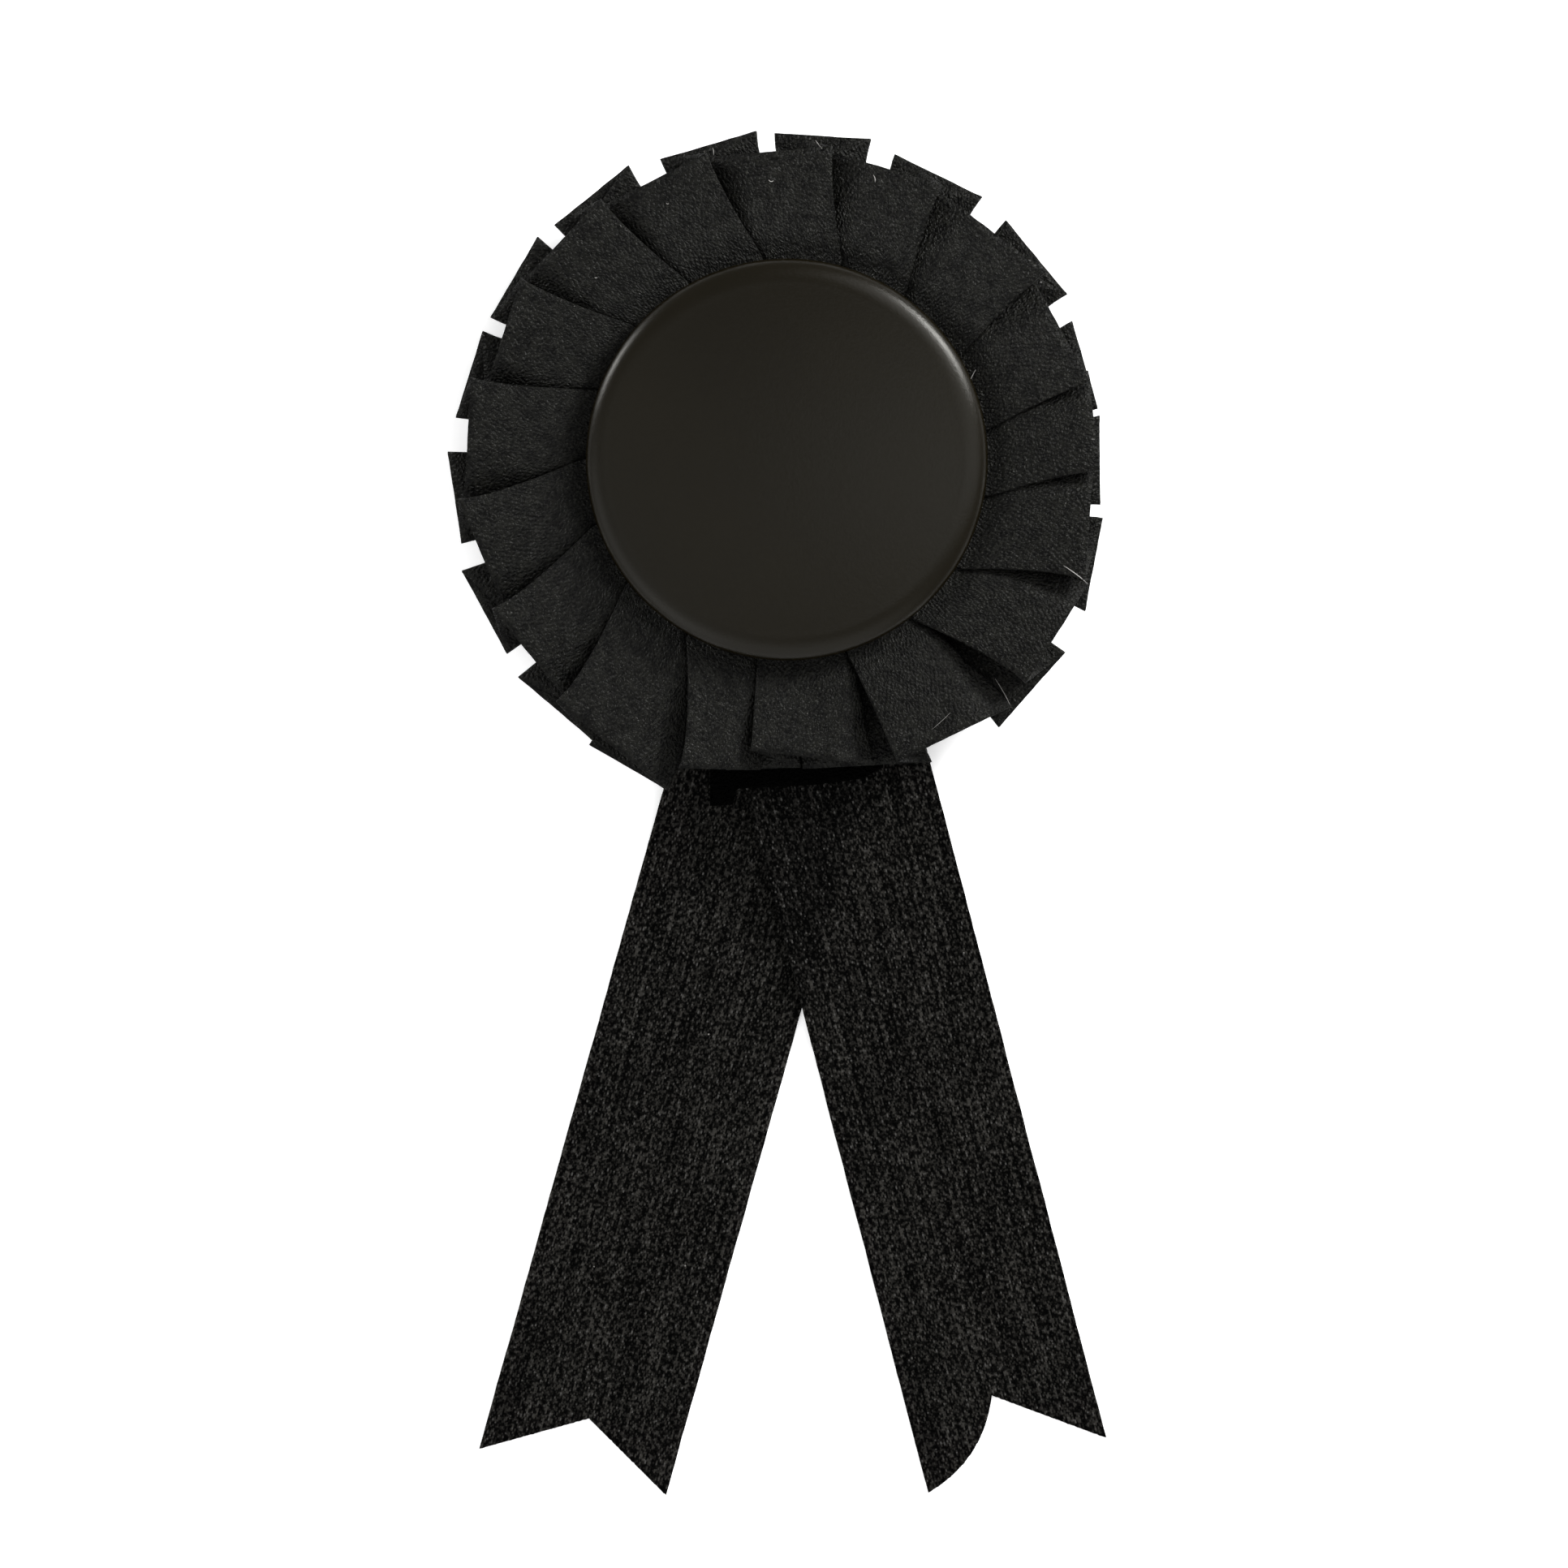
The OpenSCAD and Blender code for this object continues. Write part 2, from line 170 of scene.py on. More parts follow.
# Radius of a crease in mm, and how many steps each stretch of the ribbon has: round a crease, along a face,
# along a tab, from a tab's end to the next face's start, from a fold to its tab in one go or first over a
# face's start and then down, along the last ply, and across the ribbon
CREASE_R = 0.25
CREASE_STEPS = 4
FACE_STEPS = 26
TAB_STEPS = 12
BEHIND_STEPS = 9
DROP_STEPS = 11
OVER_STEPS, DOWN_STEPS = 4, 8
LAST_STEPS = 6
RING_ROWS = 24

# Tails. Sizes in mm, and a point is (across, along) from the tail's middle line and the badge's middle. lean
# is in degrees, aside is how far the middle line passes the badge's middle, corners and notch are the forked
# end, bulge is how far its first side bows out, fall lists heights along the tail, and seed sets it apart.
Tail = namedtuple("Tail", "name width lean aside corners notch bulge fall seed")
TAIL_TOP = 12.0
TAILS = [
    Tail(
        "tail_left", 27.8, -15.6, 9.5, (149.6, 148.8), (0.2, 141.1), 0.0,
        [(TAIL_TOP, 2.7), (44, 2.7), (62, 0), (160, 0)], 40.0,
    ),
    Tail(
        "tail_right", 26.9, 14.6, -4.4, (149.6, 148.4), (-1.0, 138.3), 2.1,
        [(TAIL_TOP, 3.8), (50, 3.8), (70, 1.3), (84, 1.3), (98, 0), (160, 0)], 0.0,
    ),
]
TAIL_COLUMNS = 132
TAIL_ROWS = 170
CUT_STEPS = 8
# Width in mm of a tail's edge, which wanders, and depth in mm and cells to a mm of the waver of its cut
TAIL_EDGE = 0.6
CUT_WAVER, CUT_WAVER_CELLS = 0.1, 2.5
# Heights in mm of a tail's middle: where it lies flat, how much more that is behind the ring, how high its
# waves go, the least that it may be, and the waves' size across and along
TAIL_LIES = 0.26
TAIL_HANGS = 0.24
TAIL_WAVE = 0.28
TAIL_LEAST = 0.14
WAVE_WIDE, WAVE_LONG = 16, 26
# Crinkles as (cells to a mm across, cells to a mm along, share of the depth), and the wander of the tails'
# edges as (depth, size, seed)
CRINKLES = [(2.2, 0.33, 1.0), (4.5, 0.6, 0.6)]
EDGE_WANDER = [(0.1, 9, 3), (0.05, 1.7, 7)]
WAVE_SEED = 11
# How far the tails' threads sway from one side to the other, in metres, and how many threads and ribs go into
# a metre across and along
THREAD_SWAY = 0.9 * MM
TAIL_THREADS = (4300.0, 1500.0)
TAIL_RIBS = (1250.0, 60.0)

# Bar pin: thickness of its bar, distance between its two ears, their radius and width, the wire's radius, and
# how far each of them is eased
PIN_BAR_T = 0.8 * MM
PIN_SPAN = 25 * MM
PIN_EAR_R = 1.3 * MM
PIN_EAR_W = 3.4 * MM
PIN_WIRE_R = 0.45 * MM
BAR_EASE = 0.2 * MM
EAR_EASE = 0.15 * MM
WIRE_EASE = 0.05 * MM
# How far the ears end below the bar's top, and the sides of a round plate
EAR_BELOW = 0.05 * MM
PLATE_SIDES = 48

# Corners of the pleated ribbon's cut end, in mm from the badge's middle
END_LEFT, END_RIGHT, END_TOP = -11.1, 13.9, -28.6
END_CUT = [(-11.1, -50.0), (-7.7, -49.8), (-7.3, -47.5), (4.6, -46.9), (11.1, -46.0), (13.9, -44.4)]
END_COLUMNS = 60
END_ROWS = 48
# In mm: how far it lies below its solid's top, how much it droops and between which distances from the
# badge's middle, and the depth and size of its dents
END_BELOW = 0.5
END_DROOP = 0.35
DROOP_FROM, DROOP_TO = 44, 50
END_DENT, END_DENT_SIZE = 0.05, 4
# Depth in mm, cells to a mm and seed of its cut's waver, and the share of the satin's tone that it keeps
# as painted shade of the ring's shadow
END_WAVER, END_WAVER_CELLS, END_WAVER_SEED = 0.05, 3, 5.0
END_SHADE = 0.02

# Pale fibres that show on the cloth: one end, the middle and the other end in pixels of the photo, and how
# pale, 0 to 1
Fibre = namedtuple("Fibre", "start middle end pale")
FIBRES = [
    Fibre((1310, 697), (1326, 707), (1341, 720), 1.0),
    Fibre((1226, 836), (1238, 854), (1246, 872), 0.9),
    Fibre((1195, 470), (1198, 462), (1202, 456), 0.7),
    Fibre((1148, 899), (1160, 889), (1171, 878), 0.1),
    Fibre((947, 222), (950, 226), (953, 223), 1.0),
    Fibre((733, 342), (735, 344), (736, 342), 0.8),
    Fibre((821, 251), (823, 253), (824, 251), 0.7),
    Fibre((1005, 173), (1008, 178), (1013, 184), 0.6),
    Fibre((1076, 216), (1079, 220), (1078, 225), 0.7),
    Fibre((878, 182), (880, 187), (879, 192), 0.5),
]
# Their radius, as shares of it the darkest fibre, what the palest adds and a tip, their steps and sides, and
# a height above every piece, from which they are laid down
FIBRE_R = 0.05 * MM
FIBRE_DARKEST = 0.3
FIBRE_ADDS = 0.9
FIBRE_TIP = 0.35
FIBRE_STEPS = 8
FIBRE_SIDES = 5
ABOVE_ALL = 30 * MM

# Colours of lint on cloth and on the badge, and of a fibre's dark and pale places
CLOTH_LINT = (0.16, 0.155, 0.145, 1.0)
BADGE_LINT = (0.05, 0.05, 0.045, 1.0)
FIBRE_DARK = (0.2, 0.195, 0.185, 1.0)
FIBRE_PALE = (0.42, 0.41, 0.39, 1.0)
# Colour of the tails' painted glints, and the painted shade where the other tail lies under a tail: how much
# of its light it keeps there
TAIL_PAINTED_GLINT = (0.042, 0.041, 0.039, 1.0)
TAIL_OVERLAP_SHADE = (0.62, 0.62, 0.63, 1.0)
BLACK = (0.0, 0.0, 0.0, 1.0)
WHITE = (1.0, 1.0, 1.0, 1.0)
FLOOR_WHITE = (0.95, 0.95, 0.95, 1.0)
# How far a strand's dashes are set on by chance, and how far apart two strands are in the noise
DASH_START = 40.0
STRAND_APART = 7.31

# Soft lights, LIGHT_AWAY metres from LIGHT_AIM: name, bearing clockwise from the top and climb in degrees,
# size in metres, and how much it adds to the floor's brightness
LIGHT_AWAY = 1.3
LIGHT_AIM = (0.0, 0.03, 0.0)
LIGHTS = [
    ("key", 51, 24, (0.42, 0.245), 0.62),
    ("key_halo", 42, 44, (0.8, 0.6), 0.18),
    ("side_strip", 90, 60, (0.45, 1.35), 0.165),
    ("left_low", 300, 9, (0.3, 0.2), 0.085),
    ("left_soft", 242, 32, (1.3, 0.8), 0.12),
    ("left_high", 255, 70, (1.0, 0.5), 0.06),
    ("near_soft", 183, 31, (1.7, 1.35), 0.21),
]
# Strength of the light from all round, and the floor's glow and half its width
ROOM_LIGHT = 0.55
FLOOR_GLOW = 0.35
FLOOR_HALF = 6.0
# The camera's height above the level that it is fitted to, that level, the width of its sensor in mm and how
# far it sees
CAMERA_AWAY = 8.0
CAMERA_FITS = 6 * MM
SENSOR_W = 36.0
CAMERA_SEES = 100.0


class RosetteSizes(bpy.types.PropertyGroup):
    """Sizes that a user would change."""

    cloth: bpy.props.FloatProperty(
        name="Satin thickness", description="Thickness of the pleated satin ribbon",
        default=0.15 * MM, min=0.1 * MM, max=0.5 * MM, unit="LENGTH",
    )
    tail_cloth: bpy.props.FloatProperty(
        name="Tail thickness", description="Thickness of the crinkled ribbon of the tails",
        default=0.18 * MM, min=0.1 * MM, max=0.5 * MM, unit="LENGTH",
    )
    crinkle: bpy.props.FloatProperty(
        name="Crinkle depth", description="Height of the tails' lengthwise crinkles",
        default=0.1 * MM, min=0.0, max=0.3 * MM, unit="LENGTH",
    )
    badge_wall: bpy.props.FloatProperty(
        name="Badge wall", description="Thickness of the badge's pressed shell",
        default=0.5 * MM, min=0.3 * MM, max=1.0 * MM, unit="LENGTH",
    )


class RosetteColours(bpy.types.PropertyGroup):
    """Colours that a user would change."""

    satin: bpy.props.FloatVectorProperty(
        name="Satin", description="Colour of the pleated ribbon",
        default=(0.0011, 0.0011, 0.0009), size=3, min=0.0, max=1.0, subtype="COLOR",
    )
    crinkled: bpy.props.FloatVectorProperty(
        name="Tails", description="Colour of the crinkled tails",
        default=(0.002, 0.0019, 0.0017), size=3, min=0.0, max=1.0, subtype="COLOR",
    )
    enamel: bpy.props.FloatVectorProperty(
        name="Badge", description="Colour of the badge's enamel",
        default=(0.0028, 0.0019, 0.0002), size=3, min=0.0, max=1.0, subtype="COLOR",
    )
    card: bpy.props.FloatVectorProperty(
        name="Card", description="Colour of the card behind the ring",
        default=(0.03, 0.029, 0.027), size=3, min=0.0, max=1.0, subtype="COLOR",
    )
    steel: bpy.props.FloatVectorProperty(
        name="Pin", description="Colour of the bar pin",
        default=(0.56, 0.55, 0.53), size=3, min=0.0, max=1.0, subtype="COLOR",
    )


# Small helpers


def mix(a, b, share):
    """a where share is 0 and b where it is 1."""
    return a + (b - a) * share


def smooth(share):
    """Even S curve from 0 to 1."""
    share = min(1.0, max(0.0, share))
    return share * share * (3 - 2 * share)


def straight(share):
    """No curve."""
    return share


def along(points, x, curve):
    """Height at x on a line through points of (x, height), with a curve from each point to the next."""
    at = min(max(bisect.bisect_right([point[0] for point in points], x), 1), len(points) - 1)
    (x0, y0), (x1, y1) = points[at - 1], points[at]
    return mix(y0, y1, curve((x - x0) / (x1 - x0)))


def ripple(x, y, z=0.0):
    """Smooth noise from -1 to 1, one cell to a unit."""
    return noise.noise(Vector((x, y, z)))


def spot(x, y, height):
    """Point at x and y in mm from the badge's middle and a height in metres."""
    return Vector((MIDDLE.x + x * MM, MIDDLE.y + y * MM, height))


def from_photo(px, height):
    """Point at a pixel of the photo and a height in metres."""
    x = MIDDLE.x + (px[0] - BADGE_PX[0]) * PIXEL
    y = MIDDLE.y - (px[1] - BADGE_PX[1]) * PIXEL
    return Vector((x, y, height))


def new_piece(name, bm, material, smooth_faces=True):
    """Object at the frame's origin from a bmesh whose points are in their places."""
    mesh = bpy.data.meshes.new(name)
    bm.to_mesh(mesh)
    bm.free()
    mesh.polygons.foreach_set("use_smooth", [smooth_faces] * len(mesh.polygons))
    mesh.materials.append(material)
    piece = bpy.data.objects.new(name, mesh)
    bpy.context.scene.collection.objects.link(piece)
    return piece


def cloth_grid(columns, rows, place):
    """A grid of cloth. place(column, row) gives the point, the UV in metres and the share of cloth below."""
    bm = bmesh.new()
    bmesh.ops.create_grid(bm, x_segments=columns, y_segments=rows, size=1.0)
    uv_layer = bm.loops.layers.uv.new("cloth")
    below = bm.verts.layers.float.new("cloth_below")
    uvs = {}
    for vert in bm.verts:
        column = round((vert.co.x + 1) / 2 * columns)
        row = round((vert.co.y + 1) / 2 * rows)
        point, uv, backing = place(column, row)
        vert.co = point
        vert[below] = backing
        uvs[vert] = uv
    for face in bm.faces:
        for loop in face.loops:
            loop[uv_layer].uv = uvs[loop.vert]
    return bm


def thicken(piece, thickness):
    """Gives a sheet its thickness, half to each side."""
    solid = piece.modifiers.new("thickness", "SOLIDIFY")
    solid.thickness = thickness
    solid.offset = 0.0


# Shader building


def feed(tree, source, target):
    """Gives an input a value or another node's output."""
    if isinstance(source, bpy.types.NodeSocket):
        tree.links.new(source, target)
    else:
        target.default_value = source


def add_node(tree, kind, sources=None, **settings):
    """A node with its settings. sources feeds its inputs, by name or number."""
    made = tree.nodes.new(kind)
    for name, value in settings.items():
        setattr(made, name, value)
    for name, source in (sources or {}).items():
        feed(tree, source, made.inputs[name])
    return made


def calculate(tree, operation, *sources):
    """The result of an operation on values or outputs."""
    return add_node(tree, "ShaderNodeMath", dict(enumerate(sources)), operation=operation).outputs[0]


def vary(tree, source, target, at_none, at_full):
    """Gives an input a value from at_none to at_full as source goes from 0 to 1."""
    feed(tree, calculate(tree, "MULTIPLY_ADD", source, at_full - at_none, at_none), target)


def stretch(tree, source, low, high):
    """The part of source between low and high, stretched to 0 to 1."""
    made = add_node(tree, "ShaderNodeMapRange", {"Value": source, "From Min": low, "From Max": high})
    return made.outputs["Result"]


def mixed(tree, factor, one, two):
    """one where factor is 0 and two where it is 1."""
    return add_node(tree, "ShaderNodeMix", {0: factor, 2: one, 3: two}, data_type="FLOAT").outputs[0]


def noise_of(tree, vector, scale, detail=2.0, roughness=0.6):
    """Noise of a vector, 0 to 1."""
    made = add_node(
        tree, "ShaderNodeTexNoise",
        {"Vector": vector, "Scale": scale, "Detail": detail, "Roughness": roughness},
    )
    return made.outputs["Fac"]


def waves_of(tree, vector, scale, distortion, detail_scale):
    """Bands of waves across a vector's X, 0 to 1."""
    made = add_node(
        tree, "ShaderNodeTexWave",
        {
            "Vector": vector, "Scale": scale, "Distortion": distortion, "Detail": 2.0,
            "Detail Scale": detail_scale,
        },
        wave_type="BANDS", bands_direction="X",
    )
    return made.outputs["Fac"]


def strands(tree, vector, wide, dashes):
    """Noise in lengthwise strands. wide and dashes are how many go into a metre across and along."""
    split = add_node(tree, "ShaderNodeSeparateXYZ", {0: vector})
    strand = calculate(tree, "FLOOR", calculate(tree, "MULTIPLY", split.outputs[0], wide))
    chance = add_node(tree, "ShaderNodeTexWhiteNoise", {"W": strand}, noise_dimensions="1D")
    start = calculate(tree, "MULTIPLY", chance.outputs["Value"], DASH_START)
    dash = calculate(tree, "ADD", calculate(tree, "MULTIPLY", split.outputs[1], dashes), start)
    apart = calculate(tree, "MULTIPLY", strand, STRAND_APART)
    place = add_node(tree, "ShaderNodeCombineXYZ", {0: apart, 1: dash})
    return noise_of(tree, place.outputs[0], scale=1.0, detail=1.0, roughness=0.5)


def new_group(name, outputs, **values):
    """A shader node group and its inputs: a vector and numbers with their usual values."""
    group = bpy.data.node_groups.new(name, "ShaderNodeTree")
    group.interface.new_socket("Vector", in_out="INPUT", socket_type="NodeSocketVector")
    for label, value in values.items():
        socket = group.interface.new_socket(label, in_out="INPUT", socket_type="NodeSocketFloat")
        socket.default_value = value
    for label in outputs:
        group.interface.new_socket(label, in_out="OUTPUT", socket_type="NodeSocketFloat")
    return group, group.nodes.new("NodeGroupInput").outputs


def put_out(group, **results):
    """Feeds a group's outputs."""
    out = group.nodes.new("NodeGroupOutput")
    for label, source in results.items():
        feed(group, source, out.inputs[label])
    return group


def ribbon_weave_group():
    """Satin weave: a height with rows of floats and grain, a grainy tone with blotches of painted sheen, and
    a mask of painted sparks, 0 to 1.
    """
    group, given = new_group("ribbon_weave", ["Height", "Tone", "Spark"], Threads=2600.0, Blotch=0.4)
    vector, threads = given["Vector"], given["Threads"]
    turned = add_node(
        group, "ShaderNodeMapping", {"Vector": vector, "Rotation": (0.0, 0.0, math.radians(38))}
    )
    wide = calculate(group, "MULTIPLY", threads, 0.25)
    rows = waves_of(group, turned.outputs["Vector"], wide, distortion=5.0, detail_scale=2.0)
    grain = stretch(group, noise_of(group, vector, threads, detail=1.5), 0.37, 0.63)
    weave = mixed(group, 0.72, rows, grain)
    # Broad blotches of painted sheen, mixed into the tone as far as Blotch says
    blotches = noise_of(group, vector, scale=420.0, detail=4.0, roughness=0.65)
    blotch = stretch(group, blotches, 0.35, 0.65)
    sparks = noise_of(group, vector, scale=1900.0, detail=1.0, roughness=0.5)
    return put_out(
        group,
        Height=weave,
        Tone=stretch(group, mixed(group, given["Blotch"], weave, blotch), 0.25, 0.75),
        Spark=stretch(group, sparks, 0.66, 0.76),
    )


def crinkle_group():
    """Thin ribbon of fine threads in wider ribs: a height, a tone with painted shade in grooves and gaps, and
    a mask of painted glints, 0 to 1.
    """
    group, given = new_group("ribbon_crinkle", ["Height", "Tone", "Glint"])
    vector = given["Vector"]
    bend = add_node(
        group, "ShaderNodeVectorMath", {1: (1.0, 0.0, 0.0), 2: vector}, operation="MULTIPLY_ADD"
    )
    sway = noise_of(group, vector, scale=30.0, detail=1.0)
    vary(group, sway, bend.inputs[0], at_none=-THREAD_SWAY / 2, at_full=THREAD_SWAY / 2)
    bent = bend.outputs[0]
    drawn_out = add_node(group, "ShaderNodeVectorMath", {0: bent, 1: (1.0, 0.06, 1.0)}, operation="MULTIPLY")
    threads = strands(group, bent, *TAIL_THREADS)
    thread = stretch(group, threads, 0.42, 0.58)
    rib = stretch(group, strands(group, bent, *TAIL_RIBS), 0.36, 0.64)
    grooves = waves_of(group, drawn_out.outputs[0], scale=265.0, distortion=3.6, detail_scale=0.6)
    groove = stretch(group, grooves, 0.1, 0.75)
    patch = stretch(group, noise_of(group, vector, scale=160.0), 0.35, 0.65)
    uneven = mixed(group, 0.09, mixed(group, 0.48, rib, groove), patch)
    # Tone: the threads and ribs, with the grooves and the gaps between threads darkened as painted shade
    return put_out(
        group,
        Height=mixed(group, 0.4, thread, uneven),
        Tone=calculate(group, "POWER", mixed(group, 0.42, thread, uneven), 2.8),
        Glint=stretch(group, threads, 0.65, 0.73),
    )


def lint_group():
    """Specks of lint: a mask from 0 to 1 with one small speck in some of the cells."""
    group, given = new_group("lint_specks", ["Mask"], Cells=260.0, Share=0.12)
    cells = add_node(
        group, "ShaderNodeTexVoronoi", {"Vector": given["Vector"], "Scale": given["Cells"]}, feature="F1"
    )
    speck = stretch(group, cells.outputs["Distance"], 0.045, 0.02)
    chance = add_node(group, "ShaderNodeSeparateColor", {0: cells.outputs["Color"]})
    chosen = calculate(group, "LESS_THAN", chance.outputs[0], given["Share"])
    return put_out(group, Mask=calculate(group, "MULTIPLY", speck, chosen))


def handling_group():
    """Fine marks from handling: a height and a mask of worn places, for hard pieces."""
    group, given = new_group("handling_marks", ["Height", "Wear"], Scale=300.0)
    fine = noise_of(group, given["Vector"], given["Scale"], detail=5.0, roughness=0.7)
    cloudy = noise_of(group, given["Vector"], scale=45.0, detail=3.0, roughness=0.5)
    return put_out(group, Height=fine, Wear=stretch(group, cloudy, 0.4, 0.75))


def place_group(tree, name, build, vector, **values):
    """Outputs of a shared group with values of its own. build makes the group the first time."""
    shared = bpy.data.node_groups.get(name) or build()
    return add_node(tree, "ShaderNodeGroup", {"Vector": vector, **values}, node_tree=shared).outputs


def new_material(name, **surface):
    """A material with a Principled surface, and the values that are the same all over it."""
    material = bpy.data.materials.new(name)
    material.use_nodes = True
    tree = material.node_tree
    shader = tree.nodes["Principled BSDF"]
    for label, value in surface.items():
        shader.inputs[label.replace("_", " ").title().replace("Ior", "IOR")].default_value = value
    return material, tree, shader


def blend(tree, share, under, over, way="MIX"):
    """The colour under where share is 0 and over where it is 1. Each is a colour or an output."""
    return add_node(
        tree, "ShaderNodeMix", {0: share, 6: under, 7: over}, data_type="RGBA", blend_type=way
    ).outputs[2]


def bump(tree, height, shader, strength, distance):
    """Bumps a surface by a linked height. distance is the height's size in metres."""
    made = add_node(tree, "ShaderNodeBump", {"Height": height, "Strength": strength, "Distance": distance})
    feed(tree, made.outputs["Normal"], shader.inputs["Normal"])


def uv_vector(tree):
    """Place on the flat cloth in metres."""
    return add_node(tree, "ShaderNodeUVMap", uv_map="cloth").outputs["UV"]


def object_vector(tree):
    """Place in the part in metres."""
    return add_node(tree, "ShaderNodeTexCoord").outputs["Object"]


def handling_marks(tree, scale):
    """The shared marks from handling at a scale."""
    return place_group(tree, "handling_marks", handling_group, object_vector(tree), Scale=scale)


def lay_lint(tree, shader, under, colour, cells, share):
    """Gives a surface the linked colour under, with specks of lint on it."""
    lint = place_group(tree, "lint_specks", lint_group, object_vector(tree), Cells=cells, Share=share)
    feed(tree, blend(tree, lint["Mask"], under, colour), shader.inputs["Base Color"])


def times(colour, factor=1.0):
    """A shader colour from the first three numbers of another, made paler or darker."""
    return (*(part * factor for part in colour[:3]), 1.0)


def satin_material(name, colour, lint_share, shine):
    """Woven satin with painted sparks on its threads and blotches of painted sheen."""
    material, tree, shader = new_material(
        name, specular_ior_level=0.1 * shine, sheen_weight=0.004 * shine, sheen_roughness=0.45,
        anisotropic=0.8, anisotropic_rotation=0.25, specular_tint=(1.0, 1.0, 0.97, 1.0),
    )
    # Blotch: how much of the tone is blotches of painted sheen
    weave = place_group(
        tree, "ribbon_weave", ribbon_weave_group, uv_vector(tree), Threads=1950.0, Blotch=0.5
    )
    cloth = blend(tree, weave["Tone"], BLACK, times(colour, 5.1))
    # Painted sparks: a few specks of the weave made far paler, as highlights on the threads
    painted_sparks = blend(tree, weave["Spark"], cloth, times(colour, 15.0))
    lay_lint(tree, shader, painted_sparks, CLOTH_LINT, cells=230.0, share=lint_share)
    vary(tree, weave["Tone"], shader.inputs["Roughness"], at_none=0.52, at_full=0.28)
    bump(tree, weave["Height"], shader, strength=1.0, distance=0.22 * MM)
    return material


def crinkled_material(colour):
    """Thin crinkled ribbon with painted glints, and painted shade where the other tail lies under it."""
    material, tree, shader = new_material("tail_crinkle", specular_ior_level=0.015)
    crinkle = place_group(tree, "ribbon_crinkle", crinkle_group, uv_vector(tree))
    below = add_node(tree, "ShaderNodeAttribute", attribute_name="cloth_below").outputs["Fac"]
    single = blend(tree, crinkle["Tone"], BLACK, times(colour, 12.0))
    # Painted shade: darker where the other tail lies under this one, in place of light through the thin cloth
    overlap_shaded = blend(tree, below, single, TAIL_OVERLAP_SHADE, "MULTIPLY")
    # Painted glints: the palest threads made paler still, as highlights
    painted_glints = blend(tree, crinkle["Glint"], overlap_shaded, TAIL_PAINTED_GLINT)
    lay_lint(tree, shader, painted_glints, CLOTH_LINT, cells=300.0, share=0.1)
    vary(tree, crinkle["Tone"], shader.inputs["Roughness"], at_none=0.62, at_full=0.42)
    bump(tree, crinkle["Height"], shader, strength=0.8, distance=0.2 * MM)
    return material


def enamel_material(colour):
    """The badge's warm lacquer, a little worn, with a few specks of lint."""
    material, tree, shader = new_material(
        "badge_lacquer", specular_ior_level=0.174, specular_tint=(1.0, 0.99, 0.94, 1.0),
    )
    marks = handling_marks(tree, scale=2600.0)
    coat = blend(tree, marks["Wear"], times(colour, 0.9), times(colour, 1.12))
    lay_lint(tree, shader, coat, BADGE_LINT, cells=160.0, share=0.05)
    vary(tree, marks["Wear"], shader.inputs["Roughness"], at_none=0.21, at_full=0.26)
    bump(tree, marks["Height"], shader, strength=0.3, distance=0.12 * MM)
    return material


def card_material(colour):
    """Plain card with its fibres."""
    material, tree, shader = new_material("back_card_paper", specular_ior_level=0.3)
    marks = handling_marks(tree, scale=1500.0)
    fibres = blend(tree, marks["Height"], times(colour, 0.6), times(colour, 1.6))
    feed(tree, fibres, shader.inputs["Base Color"])
    vary(tree, marks["Wear"], shader.inputs["Roughness"], at_none=0.85, at_full=0.75)
    bump(tree, marks["Height"], shader, strength=0.4, distance=0.06 * MM)
    return material


def steel_material(colour):
    """Nickel on steel, a little worn."""
    material, tree, shader = new_material("pin_nickel")
    marks = handling_marks(tree, scale=1200.0)
    plating = blend(tree, marks["Wear"], times(colour, 0.85), times(colour))
    feed(tree, plating, shader.inputs["Base Color"])
    vary(tree, marks["Wear"], shader.inputs["Metallic"], at_none=1.0, at_full=0.96)
    vary(tree, marks["Height"], shader.inputs["Roughness"], at_none=0.16, at_full=0.36)
    bump(tree, marks["Height"], shader, strength=0.1, distance=0.02 * MM)
    return material


def thread_material():
    """A pale fibre of lint."""
    material, tree, shader = new_material("pale_thread", roughness=0.7)
    marks = handling_marks(tree, scale=2500.0)
    feed(tree, blend(tree, marks["Height"], FIBRE_DARK, FIBRE_PALE), shader.inputs["Base Color"])
    return material


# The pleated ribbon


def fold(i):
    """Fold i, counted on past the last fold into the next turn."""
    turns, row = divmod(i, len(FOLDS))
    found = FOLDS[row]
    on = 360.0 * turns
    return found._replace(at=found.at + on, tab_from=found.tab_from + on, tab_to=found.tab_to + on)


def round_rim(length):
    """Degrees round the rim for a length in mm."""
    return math.degrees(length / RIM_R)


def start_at(i):
    """Bearing where the face after fold i starts."""
    return fold(i).at - fold(i).lap


def start_lean(i):
    """Lean of the face's start after fold i."""
    return fold(i).lean + fold(i).lap - INNER_LAP


def notch_lean(i):
    """Lean of the two tab corners in the notch before fold i."""
    return min((fold(i - 1).lean + fold(i).lean) / 2, fold(i).lean + NOTCH_MORE)


def edge_reach(at, a, b):
    """Reach at a bearing of the straight edge through two corners, each given as (bearing, reach)."""
    if abs(b[0] - a[0]) < CLOSE_CORNERS:
        low, high = sorted((a, b))
        return mix(low[1], high[1], max(0.0, min(1.0, (at - low[0]) / (high[0] - low[0]))))
    full = math.sin(math.radians(b[0] - a[0]))
    return a[1] * b[1] * full / (
        a[1] * math.sin(math.radians(at - a[0])) + b[1] * math.sin(math.radians(b[0] - at))
    )


